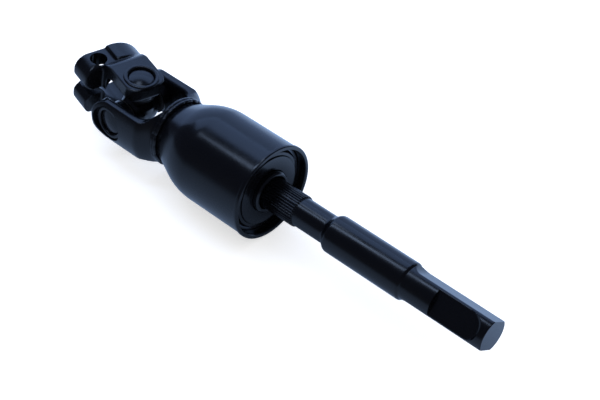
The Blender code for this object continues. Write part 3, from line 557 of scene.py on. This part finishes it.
def shaft_stations():
    """Returns the rings of the shaft, close together where its form changes."""
    tight = 0.02 * MM
    thick_round_end = THICK_END + THICK_ROUNDING
    mill_station = NOTCH_END - NOTCH_CUTTER_RADIUS
    spans = ((SHAFT_INNER_END, SPLINE_END - tight, 4), (SPLINE_END, SHOULDER_START, 6),
             (SHOULDER_START, SHOULDER_END, 24), (SHOULDER_END, THICK_END, 20),
             (THICK_END, thick_round_end, 14), (thick_round_end, FLAT_START, 36),
             (FLAT_START, NOTCH_START - tight, 8), (NOTCH_START, mill_station, 8),
             (mill_station, NOTCH_END + EDGE_BREAK, 84),
             (NOTCH_END + EDGE_BREAK, TIP_STATION - TIP_CHAMFER, 5),
             (TIP_STATION - TIP_CHAMFER, TIP_STATION, 3))
    stations = []
    for start, end, count in spans:
        stations += list(np.linspace(start, end, count))
    for edge in (SPLINE_END, NOTCH_START, TIP_STATION - TIP_CHAMFER):
        stations += [edge - 6 * tight, edge + 6 * tight]
    return np.unique(np.round(np.array(stations), 7))


def make_shaft(finish):
    """Lofts the turned bar with its two flats and its notch, all from heights over the axis."""
    stations = shaft_stations()
    angles = np.linspace(0, 2 * math.pi, SHAFT_SIDES, endpoint=False)
    radius = np.repeat(turned_radius(stations)[:, None], SHAFT_SIDES, axis=1)
    cuts = ((FLAT_ANGLE, flat_reach), (FLAT_ANGLE + math.pi, flat_reach), (NOTCH_ANGLE, notch_reach))
    for angle, reach in cuts:
        facing = np.clip(np.cos(angles - angle), LEAST_FACING, 1)
        cut_radius = np.minimum(reach(stations, facing), UNCUT)
        radius = smooth_min(radius, cut_radius, EDGE_BREAK)
    rings = []
    for station, ring in zip(stations, radius):
        rings.append([(station, r * math.cos(a), r * math.sin(a)) for r, a in zip(ring, angles)])
    shaft = loft("shaft_bar", rings, JOINT_FRAME)
    return settle(shaft, "shaft", finish, "splined_shaft", slot="black_paint", sharp=24.0)


def tooth_shape():
    """Returns one spline tooth along X: a ridge with a round crest, whose ends are chamfered."""
    pitch = 2 * math.pi / SPLINE_TEETH
    round_angles = np.radians(np.linspace(-90, 90, 15))
    shares = TOOTH_HALF_WIDTH * np.sin(round_angles)
    lift = SPLINE_DEPTH * np.cos(round_angles)
    ends = ((SHAFT_INNER_END, 0.0), (SHAFT_INNER_END + SPLINE_CHAMFER, 1.0),
            (SPLINE_END - SPLINE_CHAMFER, 1.0), (SPLINE_END, 0.0))
    sunk = SPLINE_ROOT_RADIUS - SPLINE_CHAMFER / 2
    rings = []
    for station, share in ends:
        outline = [(sunk, shares[0])] + [(SPLINE_ROOT_RADIUS + share * h, s) for s, h in zip(shares, lift)]
        outline += [(sunk, shares[-1])]
        rings.append([(station, r * math.cos(s * pitch), r * math.sin(s * pitch)) for r, s in outline])
    return loft("tooth_shape", rings)


def ring_group():
    """Returns a node group that repeats a shape in a ring about X, turned outwards and a little varied."""
    group = bpy.data.node_groups.new("ring_about_x", "GeometryNodeTree")
    inputs = {"Geometry": "Geometry", "Shape": "Object", "Count": "Int", "Variation": "Float",
              "Finish": "Material"}
    for name, kind in inputs.items():
        group.interface.new_socket(name, in_out="INPUT", socket_type="NodeSocket" + kind)
    group.interface.new_socket("Geometry", in_out="OUTPUT", socket_type="NodeSocketGeometry")
    given = add_node(group, "NodeGroupInput").outputs
    points = add_node(group, "GeometryNodePoints", [("Count", given["Count"])])
    index = add_node(group, "GeometryNodeInputIndex")
    share = add_node(group, "ShaderNodeMath", [(0, index.outputs["Index"]), (1, given["Count"])],
                     operation="DIVIDE")
    turn = add_node(group, "ShaderNodeMath", [(0, share.outputs[0])], operation="MULTIPLY")
    turn.inputs[1].default_value = 2 * math.pi
    angles = add_node(group, "ShaderNodeCombineXYZ", [("X", turn.outputs[0])])
    shape = add_node(group, "GeometryNodeObjectInfo", [("Object", given["Shape"])])
    smallest = add_node(group, "ShaderNodeMath", [(1, given["Variation"])], operation="SUBTRACT")
    smallest.inputs[0].default_value = 1.0
    size = add_node(group, "FunctionNodeRandomValue", [(2, smallest.outputs[0])], data_type="FLOAT", Seed=7)
    size.inputs[3].default_value = 1.0
    copies = add_node(group, "GeometryNodeInstanceOnPoints", [
        ("Points", points.outputs["Points"]), ("Instance", shape.outputs["Geometry"]),
        ("Rotation", angles.outputs["Vector"]), ("Scale", size.outputs[1])])
    real = add_node(group, "GeometryNodeRealizeInstances", [("Geometry", copies.outputs["Instances"])])
    finished = add_node(group, "GeometryNodeSetMaterial", [
        ("Geometry", real.outputs["Geometry"]), ("Material", given["Finish"])])
    add_node(group, "NodeGroupOutput", [("Geometry", finished.outputs["Geometry"])])
    return group


def repeat_in_ring(name, group, shape, count, variation, finish):
    """Runs the ring group on a piece of its own and leaves a plain mesh."""
    piece = bpy.data.objects.new(name, bpy.data.meshes.new(name))
    bpy.context.collection.objects.link(piece)
    modifier = piece.modifiers.new("ring", "NODES")
    modifier.node_group = group
    values = {"Shape": shape, "Count": count, "Variation": variation, "Finish": finish}
    for item in group.interface.items_tree:
        if item.in_out == "INPUT" and item.name in values:
            modifier[item.identifier] = values[item.name]
    apply_modifiers(piece)
    bpy.data.objects.remove(shape, do_unlink=True)
    return piece


# Housing and isolator

def offset_profile(points, distance):
    """Moves an open profile towards its axis by a wall's thickness, along its own normals."""
    moved = []
    for index, (along, radius) in enumerate(points):
        before = Vector(points[max(index - 1, 0)])
        after = Vector(points[min(index + 1, len(points) - 1)])
        run = (after - before).normalized()
        moved.append((along + run.y * distance, radius - run.x * distance))
    return moved


def housing_outline():
    """Returns the housing's outer profile from its neck to the start of its rim's bead."""
    degrees = math.degrees(HOUSING_CONE_ANGLE)
    fillet_centre = (HOUSING_FILLET_START, HOUSING_NECK_RADIUS + HOUSING_NECK_FILLET)
    fillet = arc(fillet_centre, HOUSING_NECK_FILLET, -90, -90 + degrees, 12)
    shoulder_centre = (HOUSING_SHOULDER_END, HOUSING_RADIUS - HOUSING_SHOULDER_RADIUS)
    shoulder = arc(shoulder_centre, HOUSING_SHOULDER_RADIUS, 90 + degrees, 90, 24)
    start = [(HOUSING_NECK_START, HOUSING_NECK_RADIUS)]
    end = [(RIM_STATION - RIM_BEAD_LENGTH, HOUSING_RADIUS)]
    return start + fillet + shoulder + end


def make_housing(finish):
    outer = housing_outline()
    inner = offset_profile(outer, HOUSING_WALL)
    bead_radius = HOUSING_RADIUS + RIM_BEAD_HEIGHT
    bead_start = RIM_STATION - RIM_BEAD_LENGTH + RIM_BEAD_HEIGHT
    nose = arc((RIM_STATION - RIM_ROUNDING, bead_radius - RIM_ROUNDING), RIM_ROUNDING, 90, 0, 8)
    inner_radius = HOUSING_RADIUS - HOUSING_WALL
    lip = [(RIM_STATION, inner_radius + RIM_BEAD_HEIGHT), (RIM_STATION - RIM_BEAD_HEIGHT, inner_radius)]
    profile = outer + [(bead_start, bead_radius)] + nose + lip
    profile += list(reversed(inner[:-1]))
    housing = turned("housing_shell", break_edges(profile, EDGE_BREAK), HOUSING_SIDES, JOINT_FRAME)
    return settle(housing, "housing", finish, "housing", slot="black_paint")


def make_isolator(paint, steel, rubber):
    """Makes the bonded bush, its sleeves and the disc over its open end."""
    outer_radius = HOUSING_RADIUS - HOUSING_WALL - CLEARANCE
    rubber_outer = outer_radius - ISOLATOR_OUTER_WALL - CLEARANCE
    rubber_inner = SLEEVE_RADIUS + CLEARANCE
    outer = turned("bush_outer_sleeve", break_edges([
        (ISOLATOR_START, outer_radius), (ISOLATOR_END, outer_radius),
        (ISOLATOR_END, outer_radius - ISOLATOR_OUTER_WALL),
        (ISOLATOR_START, outer_radius - ISOLATOR_OUTER_WALL)], EDGE_BREAK), HOUSING_SIDES, JOINT_FRAME)
    settle(outer, "housing", steel, "isolator_outer_sleeve", slot="black_paint")
    start = ISOLATOR_START + CLEARANCE
    end = ISOLATOR_END - CLEARANCE
    hollow_outer = rubber_outer - RUBBER_HOLLOW / 2
    hollow_inner = rubber_inner + RUBBER_HOLLOW / 2
    bush = turned("bush_rubber", break_edges([
        (start, rubber_outer), (end, rubber_outer),
        (end - RUBBER_HOLLOW, hollow_outer), (end - RUBBER_HOLLOW, hollow_inner),
        (end, rubber_inner), (start, rubber_inner),
        (start + RUBBER_HOLLOW, hollow_inner), (start + RUBBER_HOLLOW, hollow_outer)], 1.2 * MM),
        HOUSING_SIDES, JOINT_FRAME)
    settle(bush, "housing", rubber, "isolator_rubber", slot="black_rubber")
    inner = turned("bush_inner_sleeve", break_edges([
        (SLEEVE_START, SLEEVE_RADIUS), (RIM_STATION - SLEEVE_CHAMFER, SLEEVE_RADIUS),
        (RIM_STATION, SLEEVE_RADIUS - SLEEVE_CHAMFER), (RIM_STATION, SLEEVE_BORE_RADIUS + SLEEVE_CHAMFER),
        (RIM_STATION - SLEEVE_CHAMFER, SLEEVE_BORE_RADIUS), (SLEEVE_START, SLEEVE_BORE_RADIUS)], EDGE_BREAK),
        SHAFT_SIDES, JOINT_FRAME)
    settle(inner, "shaft", paint, "isolator_inner_sleeve", slot="black_paint")
    face = RIM_STATION - DISC_RECESS
    back = face - DISC_THICKNESS
    disc = turned("mouth_disc", break_edges([
        (back, rubber_inner), (face, rubber_inner), (face, DISC_STEP_RADIUS),
        (face - DISC_STEP, DISC_STEP_RADIUS + DISC_STEP / 2), (face - DISC_STEP, DISC_RADIUS - DISC_STEP / 2),
        (face - DISC_STEP * 1.5, DISC_RADIUS), (back, DISC_RADIUS)], EDGE_BREAK), HOUSING_SIDES, JOINT_FRAME)
    settle(disc, "shaft", paint, "end_disc", slot="black_paint")


# Cross and bearings

def make_cross(finish):
    end = CUP_FACE - CUP_FLOOR - CLEARANCE
    chamfer = TRUNNION_RADIUS / 10
    half = [(end, 0), (end, TRUNNION_RADIUS - chamfer), (end - chamfer, TRUNNION_RADIUS),
            (CROSS_SHOULDER, TRUNNION_RADIUS), (CROSS_SHOULDER, CROSS_ARM_RADIUS - chamfer),
            (CROSS_SHOULDER - chamfer, CROSS_ARM_RADIUS), (CROSS_HUB_RADIUS / 2, CROSS_HUB_RADIUS)]
    profile = half + [(-along, radius) for along, radius in reversed(half)]
    spider = turned("cross_forging", profile, CUP_SIDES, axes(Y_AXIS, X_AXIS))
    upright = turned("upright_arm", profile, CUP_SIDES, axes(Z_AXIS, X_AXIS))
    combine(spider, upright, "UNION")
    forge(spider)
    place(spider, CROSS_FRAME)
    return settle(spider, "cross", finish, "cross_spider", slot="black_paint", sharp=60.0)


def make_bearings(paint, steel, rubber):
    """Makes each trunnion's closed cup and seal, and finishes the CAD needles."""
    floor = CUP_FACE - CUP_FLOOR
    dome = [(CUP_FACE + CUP_DOME * math.cos(math.pi / 2 * step / 10), CUP_FACE_RADIUS * step / 10)
            for step in range(10)]
    outside = break_edges([(CUP_FACE, CUP_FACE_RADIUS), (CUP_FACE - CUP_EDGE_DROP, CUP_RADIUS),
                           (CUP_OPEN_END, CUP_RADIUS), (CUP_OPEN_END, CUP_BORE_RADIUS)], CUP_EDGE_BREAK,
                          closed=False)
    cup = dome + outside + [(floor, CUP_BORE_RADIUS), (floor, 0)]
    low = CROSS_SHOULDER + CLEARANCE
    high = low + SEAL_THICKNESS
    lip = SEAL_THICKNESS / 2
    bore = TRUNNION_RADIUS + CLEARANCE
    seal = break_edges([(low, bore), (low, CROSS_ARM_RADIUS), (high - lip, CUP_RADIUS), (high, CUP_RADIUS),
                        (high, bore)], EDGE_BREAK)
    trunnions = {"near": -Y_AXIS, "far": Y_AXIS, "top": Z_AXIS, "bottom": -Z_AXIS}
    for name, direction in trunnions.items():
        turn = CROSS_FRAME @ axes(direction, X_AXIS)
        settle(turned("cup_" + name, cup, CUP_SIDES, turn), "cross", paint,
               "bearing_cup_" + name, slot="bearing_steel")
        settle(turned("seal_" + name, seal, CUP_SIDES, turn), "cross", rubber,
               "trunnion_seal_" + name, slot="black_rubber")
        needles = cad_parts["needle_rollers_" + name]
        needles.data.materials.clear()
        needles.data.materials.append(steel)


# Yokes

def stake_ring(direction):
    """Returns the swaged ring that overhangs a cup's bevelled edge."""
    slope = CUP_EDGE_DROP / CUP_BEVEL

    def over_edge(radius):
        return CUP_FACE - slope * (radius - CUP_FACE_RADIUS) + STAKE_LIFT

    root = YOKE_SEAT - STAKE_SINK
    bore = CUP_RADIUS + CLEARANCE
    middle = (STAKE_INNER_RADIUS + STAKE_OUTER_RADIUS) / 2
    half = (STAKE_OUTER_RADIUS - STAKE_INNER_RADIUS) / 2
    crown = [(root + STAKE_HEIGHT * math.sin(math.pi * step / 12),
              middle - half * math.cos(math.pi * step / 12)) for step in range(1, 12)]
    foot = over_edge(bore) - CLEARANCE
    profile = [(over_edge(STAKE_INNER_RADIUS), STAKE_INNER_RADIUS)] + crown
    profile += [(root, STAKE_OUTER_RADIUS), (foot, STAKE_OUTER_RADIUS), (foot, bore), (over_edge(bore), bore)]
    return turned("stake", profile, CUP_SIDES, axes(direction, X_AXIS))


def fork_side_outline():
    """Returns the housing yoke seen along Y: round arm ends, straight edges and a spreading base."""
    half = YOKE_ARM_HALF_WIDTH
    meet = math.degrees(math.asin(half / YOKE_ARM_END_RADIUS))
    end = arc((0, 0), YOKE_ARM_END_RADIUS, 180 - meet, 180 + meet, 60)
    spread = YOKE_BASE_TOP_RADIUS - half
    run = YOKE_BASE_END - YOKE_THROAT
    sweep = []
    for step in range(16):
        t = step / 16
        sweep.append((YOKE_THROAT + run * t, half + spread * (1 - math.cos(math.pi * t)) / 2))
    beyond = YOKE_BASE_END + SPIGOT_LENGTH
    tall = YOKE_RADIUS * 2
    upper = sweep + [(YOKE_BASE_END, YOKE_BASE_TOP_RADIUS), (YOKE_BASE_END, tall), (beyond, tall)]
    lower = [(station, -height) for station, height in reversed(upper)]
    return end + lower[::-1] + upper[::-1]


def throat_ring(height, spread, start):
    """Returns the throat's outline at a height, pushed outwards by a given spread."""
    inner = YOKE_ARM_INNER + spread
    fillet = YOKE_THROAT_FILLET + spread
    corner = YOKE_ARM_INNER - YOKE_THROAT_FILLET
    centre = YOKE_THROAT - YOKE_THROAT_FILLET
    outline = [(start, -inner)] + arc((centre, -corner), fillet, -90, 0, 16)
    outline += arc((centre, corner), fillet, 0, 90, 16) + [(start, inner)]
    return [(x, y, height) for x, y in outline]


def throat_cutter():
    """Lofts the space between the arms, with its upper edge rounded."""
    rounding = YOKE_INNER_ROUNDING
    rings = [(-YOKE_RADIUS * 2, 0)]
    for angle in range(0, 76, 15):
        turn = math.radians(angle)
        height = YOKE_ARM_HALF_WIDTH - rounding * (1 - math.sin(turn))
        rings.append((height, rounding * (1 - math.cos(turn))))
    rings.append((YOKE_ARM_HALF_WIDTH + CLEARANCE / 10, rounding))
    rings.append((YOKE_RADIUS * 2, rounding))
    start = -YOKE_RADIUS * 2
    return loft("throat", [throat_ring(height, spread, start) for height, spread in rings])


def housing_yoke_profile():
    """Returns the profile of the yoke's turned blank: rounded front, flare and spigot."""
    spread = YOKE_RADIUS - WELD_RADIUS
    run = WELD_STATION - WELD_WIDTH / 2 - YOKE_BASE_START
    flare = []
    for step in range(25):
        share = step / 24
        radius = YOKE_RADIUS - spread * (1 - math.cos(math.pi * share / 2))
        flare.append((YOKE_BASE_START + run * share, radius))
    start = -YOKE_ARM_END_RADIUS - CLEARANCE
    spigot_end = YOKE_BASE_END + SPIGOT_LENGTH
    tip_centre = (start + YOKE_TIP_ROUNDING, YOKE_RADIUS - YOKE_TIP_ROUNDING)
    tip = arc(tip_centre, YOKE_TIP_ROUNDING, 180, 90, 12)
    profile = [(start, 0)] + tip + flare
    profile += [(YOKE_BASE_END, HOUSING_NECK_RADIUS), (YOKE_BASE_END, SPIGOT_RADIUS)]
    profile += [(spigot_end - CLEARANCE, SPIGOT_RADIUS), (spigot_end, SPIGOT_RADIUS - CLEARANCE)]
    return profile + [(spigot_end, 0)]


def make_housing_yoke(finish):
    """Forges the yoke's blank, then machines its cup seats and stakes them."""
    wide = YOKE_RADIUS * 2
    yoke = turned("housing_fork", housing_yoke_profile(), HOUSING_SIDES)
    combine(yoke, prism("side_view", fork_side_outline(), -wide, wide, axes(X_AXIS, Z_AXIS)), "INTERSECT")
    combine(yoke, throat_cutter(), "DIFFERENCE")
    forge(yoke)
    bore = CUP_RADIUS + CLEARANCE
    pocket = [(0, 0), (0, bore), (YOKE_SEAT, bore), (YOKE_SEAT, YOKE_SEAT_RADIUS), (wide, YOKE_SEAT_RADIUS),
              (wide, 0)]
    for direction in (Y_AXIS, -Y_AXIS):
        turn = axes(direction, X_AXIS)
        combine(yoke, turned("cup_bore", pocket, CUP_SIDES, turn), "DIFFERENCE")
        combine(yoke, stake_ring(direction), "UNION")
    place(yoke, JOINT_FRAME)
    return settle(yoke, "housing", finish, "housing_yoke", slot="black_paint")


def weld_ripple(station):
    """Returns one ripple of a weld ridge, a flattened ball that overlaps its neighbours."""
    bm = bmesh.new()
    bmesh.ops.create_uvsphere(bm, u_segments=20, v_segments=12, radius=1.0)
    size = Matrix.Diagonal((*WELD_RIPPLE_HALVES, 1.0))
    bm.transform(Matrix.Translation((station, WELD_RADIUS - WELD_RIPPLE_SINK, 0)) @ size)
    return finish_mesh(bm, "weld_ripple", Matrix.Identity(4))


def clamp_side_outline():
    """Returns the clamp yoke's fork seen along its Y: arms, roots and the throat between the arms."""
    outer = [(CLAMP_ARM_END, YOKE_SEAT), (-CLAMP_ARM_ROOT, YOKE_SEAT)]
    drop = YOKE_SEAT - CLAMP_EAR_HEIGHT
    run = CLAMP_HUB_START + CLAMP_HUB_CHAMFER - CLAMP_ARM_ROOT
    for step in range(1, 17):
        t = step / 16
        outer.append((-CLAMP_ARM_ROOT - run * t, YOKE_SEAT - drop * (1 - math.cos(math.pi * t / 2))))
    corner = CLAMP_ARM_INNER - CLAMP_THROAT_FILLET
    centre = -CLAMP_THROAT + CLAMP_THROAT_FILLET
    inner = [(CLAMP_ARM_END, CLAMP_ARM_INNER)] + arc((centre, corner), CLAMP_THROAT_FILLET, 90, 180, 16)
    upper = inner[::-1] + outer
    lower = [(station, -height) for station, height in reversed(upper)]
    return upper + lower


def clamp_plan_outline():
    """Returns the clamp yoke's fork seen along its trunnions, with rounded arm ends."""
    corner = CLAMP_ARM_HALF_WIDTH - CLAMP_ARM_CORNER
    centre = CLAMP_ARM_END - CLAMP_ARM_CORNER
    end = arc((centre, -corner), CLAMP_ARM_CORNER, -90, 0, 24)
    end += arc((centre, corner), CLAMP_ARM_CORNER, 0, 90, 24)
    back = -CLAMP_HUB_END + CLAMP_HUB_CHAMFER
    return end + [(back, CLAMP_ARM_HALF_WIDTH), (back, -CLAMP_ARM_HALF_WIDTH)]


def ear_outline():
    """Returns both ears as one block seen along the clamp's axis, each with a rounded nose."""
    outer = CLAMP_EAR_OUTER_CORNER
    inner = CLAMP_EAR_INNER_CORNER
    upper = arc((outer - CLAMP_EAR_REACH, CLAMP_EAR_HEIGHT - outer), outer, 90, 180, 24)
    upper += arc((inner - CLAMP_EAR_REACH, CLAMP_SLOT / 2 + inner), inner, 180, 250, 16)
    lower = [(y, -z) for y, z in reversed(upper)]
    return [(0, CLAMP_EAR_HEIGHT)] + upper + lower + [(0, -CLAMP_EAR_HEIGHT)]


def ear_side_outline():
    """Returns the ears' block seen along Y, with its front edges rounded."""
    centre = -CLAMP_HUB_START - CLAMP_EAR_ROUNDING
    corner = CLAMP_EAR_HEIGHT - CLAMP_EAR_ROUNDING
    back = -CLAMP_HUB_END - CLAMP_HUB_CHAMFER
    upper = arc((centre, corner), CLAMP_EAR_ROUNDING, 0, 90, 16) + [(back, CLAMP_EAR_HEIGHT)]
    lower = [(station, -height) for station, height in reversed(upper)]
    return upper + lower


def seat_outline(side):
    """Returns the flat seat of a bolt, cut into the barrel as far as a small fillet, above or below."""
    radius = CLAMP_SEAT_INNER / 2
    fillet = arc((-CLAMP_SEAT_INNER - radius, CLAMP_EAR_HEIGHT + radius), radius, -90, 0, 8)
    far = -CLAMP_EAR_REACH * 2
    top = CLAMP_HUB_RADIUS * 2
    outline = [(far, CLAMP_EAR_HEIGHT)] + fillet + [(fillet[-1][0], top), (far, top)]
    return [(y, side * z) for y, z in outline]


def clamp_barrel(wide):
    """Turns the clamp's barrel and cuts the seats of the bolt's head and nut into it."""
    chamfer = CLAMP_HUB_CHAMFER
    barrel = turned("barrel", [
        (-CLAMP_HUB_END, 0), (-CLAMP_HUB_END, CLAMP_HUB_RADIUS - chamfer),
        (-CLAMP_HUB_END + chamfer, CLAMP_HUB_RADIUS), (-CLAMP_HUB_START - chamfer, CLAMP_HUB_RADIUS),
        (-CLAMP_HUB_START, CLAMP_HUB_RADIUS - chamfer), (-CLAMP_HUB_START, 0)], HOUSING_SIDES)
    for side in (1, -1):
        seat = prism("seat", seat_outline(side), -wide, -CLAMP_HUB_START + chamfer, axes(Y_AXIS, Z_AXIS))
        combine(barrel, seat, "DIFFERENCE")
    return barrel


def make_clamp_yoke(finish):
    """Forges the fork, barrel and ears as one, then machines bore, slot, bolt hole and cup bores."""
    wide = CLAMP_HUB_END * 2
    yoke = prism("clamp_fork", clamp_side_outline(), -wide, wide, axes(X_AXIS, Z_AXIS))
    combine(yoke, prism("plan", clamp_plan_outline(), -wide, wide), "INTERSECT")
    ears = prism("ears", ear_outline(), -CLAMP_HUB_END, -CLAMP_HUB_START, axes(Y_AXIS, Z_AXIS))
    combine(ears, prism("ear_side", ear_side_outline(), -wide, wide, axes(X_AXIS, Z_AXIS)), "INTERSECT")
    combine(yoke, clamp_barrel(wide), "UNION")
    combine(yoke, ears, "UNION")
    forge(yoke)
    bore_profile = [(-wide, 0), (-wide, CLAMP_BORE_RADIUS), (0, CLAMP_BORE_RADIUS), (0, 0)]
    bore = turned("bore", bore_profile, SHAFT_SIDES)
    half = CLAMP_SLOT / 2
    slot = prism("slot", [(-wide, -half), (0, -half), (0, half), (-wide, half)],
                 -wide, -CLAMP_THROAT + CLAMP_HUB_CHAMFER, axes(Y_AXIS, Z_AXIS))
    hole = turned("bolt_hole", [(-wide, 0), (-wide, BOLT_HOLE_RADIUS), (wide, BOLT_HOLE_RADIUS), (wide, 0)],
                  CUP_SIDES, axes(Z_AXIS, X_AXIS))
    place(hole, Matrix.Translation((-(CLAMP_HUB_START + CLAMP_HUB_END) / 2, -BOLT_OFFSET, 0)))
    for tool in (bore, slot, hole):
        combine(yoke, tool, "DIFFERENCE")
    cup_bore = [(0, 0), (0, CUP_RADIUS + CLEARANCE), (wide, CUP_RADIUS + CLEARANCE), (wide, 0)]
    for direction in (Z_AXIS, -Z_AXIS):
        combine(yoke, turned("cup_bore", cup_bore, CUP_SIDES, axes(direction, X_AXIS)), "DIFFERENCE")
        combine(yoke, stake_ring(direction), "UNION")
    place(yoke, CLAMP_FRAME)
    return settle(yoke, "clamp", finish, "clamp_yoke", slot="black_paint")


# Stage

def camera_frame():
    """Returns the camera's place and turn: azimuth 0 looks along +Y, and the roll lifts its right side."""
    azimuth, elevation, roll = CAMERA_AZIMUTH, CAMERA_ELEVATION, CAMERA_ROLL
    back = Vector((math.sin(azimuth) * math.cos(elevation), -math.cos(azimuth) * math.cos(elevation),
                   math.sin(elevation)))
    level = (-back).cross(Z_AXIS).normalized()
    drop = (-back).cross(level)
    right = level * math.cos(roll) + drop * math.sin(roll)
    up = back.cross(right)
    turn = Matrix((right, up, back)).transposed().to_4x4()
    return Matrix.Translation(CAMERA_PLACE) @ turn


def make_camera():
    data = bpy.data.cameras.new("camera")
    data.lens = CAMERA_LENS
    data.clip_start = 0.01
    data.clip_end = 20.0
    camera = bpy.data.objects.new("camera", data)
    bpy.context.collection.objects.link(camera)
    camera.matrix_world = camera_frame()
    bpy.context.scene.camera = camera


def stage_point(right, forward, height):
    """Returns a place on the stage: to the camera's right, away from the camera and above the axis."""
    x = right * math.cos(CAMERA_AZIMUTH) - forward * math.sin(CAMERA_AZIMUTH)
    y = right * math.sin(CAMERA_AZIMUTH) + forward * math.cos(CAMERA_AZIMUTH)
    return Vector((STAGE_MIDDLE + x, y, height))


def add_softbox(name, spot, turn, size, color, radiance):
    """Adds a soft light that shines down its own Z."""
    data = bpy.data.lights.new(name, "AREA")
    data.shape = "RECTANGLE"
    data.size, data.size_y = size
    data.energy = radiance * math.pi * size[0] * size[1]
    data.color = linear(color)[:3]
    lamp = bpy.data.objects.new(name, data)
    bpy.context.collection.objects.link(lamp)
    lamp.matrix_world = Matrix.Translation(spot) @ turn
    lamp.visible_camera = False


def floor_finish():
    """Pale plain floor: white to the camera with the object's shadow on it, and in reflections a glow with
    painted light and painted shadow.
    """
    material, tree, shader = new_material("pale_floor", WHITE)
    shader.inputs["Roughness"].default_value = FLOOR_DULLNESS
    shader.inputs["Specular IOR Level"].default_value = 0.0
    shader.inputs["Emission Color"].default_value = linear(WHITE)
    shader.inputs["Emission Strength"].default_value = FLOOR_GLOW
    here = add_node(tree, "ShaderNodeTexCoord").outputs["Object"]
    across = [("Value", add_node(tree, "ShaderNodeSeparateXYZ", [("Vector", here)]).outputs["Y"])]
    # Painted light and shade: in reflections the floor glows dim in front of the part and bright behind it.
    front = add_node(tree, "ShaderNodeMapRange", across, **PAINTED_FRONT_SHADE)
    back = add_node(tree, "ShaderNodeMapRange", across, **PAINTED_BACK_LIGHT)
    painted_floor_light = add_node(tree, "ShaderNodeMath", [(0, front.outputs["Result"]), (1, back.outputs["Result"])],
                     operation="ADD")
    # Painted shadow: near a spot under the housing's mouth, the floor's glow in reflections is darkened as if
    # the housing shaded it.
    apart = add_node(tree, "ShaderNodeVectorMath", [(0, here)], operation="DISTANCE")
    apart.inputs[1].default_value = PAINTED_SHADOW_SPOT
    painted_mouth_shade = add_node(tree, "ShaderNodeMapRange", [("Value", apart.outputs["Value"])], **PAINTED_MOUTH_SHADOW)
    painted_glow_strength = add_node(tree, "ShaderNodeMath", [(0, painted_floor_light.outputs[0]), (1, painted_mouth_shade.outputs["Result"])],
                      operation="MULTIPLY")
    # This cool-tinted glow is painted light: it shows the floor as lit, but only in reflections.
    mirrored = add_node(tree, "ShaderNodeEmission", [("Strength", painted_glow_strength.outputs[0])],
                        Color=linear(PAINTED_FLOOR_LIGHT_COLOR))
    mix_reflections(tree, shader.outputs["BSDF"], mirrored.outputs["Emission"], "Material Output")
    return material


def mix_reflections(tree, plain, mirrored, output):
    """Shows one shader in glossy reflections and another to everything else."""
    path = add_node(tree, "ShaderNodeLightPath")
    mix = add_node(tree, "ShaderNodeMixShader",
                   [("Fac", path.outputs["Is Glossy Ray"]), (1, plain), (2, mirrored)])
    tree.links.new(mix.outputs["Shader"], tree.nodes[output].inputs["Surface"])


def make_room():
    """Makes the world: plain white light on everything, and a dark studio in reflections."""
    world = bpy.data.worlds.new("room")
    bpy.context.scene.world = world
    world.use_nodes = True
    tree = world.node_tree
    sky = tree.nodes["Background"]
    sky.inputs["Color"].default_value = linear(WHITE)
    sky.inputs["Strength"].default_value = ROOM_STRENGTH
    dark = add_node(tree, "ShaderNodeBackground", Color=linear(DARK_ROOM_COLOR))
    mix_reflections(tree, sky.outputs["Background"], dark.outputs["Background"], "World Output")


def make_stage():
    """Makes the floor, the room and the lamps."""
    bm = bmesh.new()
    bmesh.ops.create_grid(bm, x_segments=1, y_segments=1, size=FLOOR_REACH)
    floor = finish_mesh(bm, "floor", Matrix.Translation((0.0, 0.0, CAD_LOW.z - FLOOR_GAP)))
    floor.data.materials.append(floor_finish())
    make_room()
    level = Matrix.Rotation(CAMERA_AZIMUTH, 4, "Z")
    upright = level @ Matrix.Rotation(math.radians(-90), 4, "X")
    along_part = Matrix.Rotation(STRIP_TURN, 4, "Z")
    overhead = stage_point(*OVERHEAD_SPOT)
    wall = stage_point(*WALL_SPOT)
    add_softbox("strip_light", STRIP_PLACE, along_part, STRIP_SIZE, STRIP_COLOR, STRIP_RADIANCE)
    add_softbox("side_strip", SIDE_STRIP_PLACE, along_part, SIDE_STRIP_SIZE, STRIP_COLOR, SIDE_STRIP_RADIANCE)
    add_softbox("overhead_softbox", overhead, level, OVERHEAD_SIZE, WALL_COLOR, OVERHEAD_RADIANCE)
    add_softbox("bright_wall", wall, upright, WALL_SIZE, WALL_COLOR, WALL_RADIANCE)


def main():
    enamel = black_enamel("black_enamel_housing", roughness=0.16, peel_height=0.010 * MM)
    forged_enamel = black_enamel("black_enamel_on_forging", roughness=0.2, peel_height=0.022 * MM)
    shaft_enamel = black_enamel("black_enamel_on_turned_steel", roughness=0.17, peel_height=0.008 * MM)
    rubber = black_rubber()
    steel = bearing_steel()
    ring = ring_group()
    make_shaft(shaft_enamel)
    teeth = repeat_in_ring("spline_ridges", ring, tooth_shape(), SPLINE_TEETH, 0.0, shaft_enamel)
    place(teeth, JOINT_FRAME)
    settle(teeth, "shaft", shaft_enamel, slot="black_paint")
    make_housing(enamel)
    make_isolator(shaft_enamel, steel, rubber)
    make_cross(forged_enamel)
    make_bearings(shaft_enamel, steel, rubber)
    make_housing_yoke(forged_enamel)
    ridges = (("weld_ridge_yoke", WELD_STATION), ("weld_ridge_neck", WELD_STATION + WELD_RIDGE_GAP))
    for name, station in ridges:
        ridge = repeat_in_ring(name, ring, weld_ripple(station), WELD_RIPPLES, WELD_VARIATION, forged_enamel)
        place(ridge, JOINT_FRAME)
        settle(ridge, "housing", forged_enamel, slot="black_paint")
    make_clamp_yoke(forged_enamel)
    make_stage()
    make_camera()
    bpy.context.scene.view_settings.view_transform = "Standard"


main()
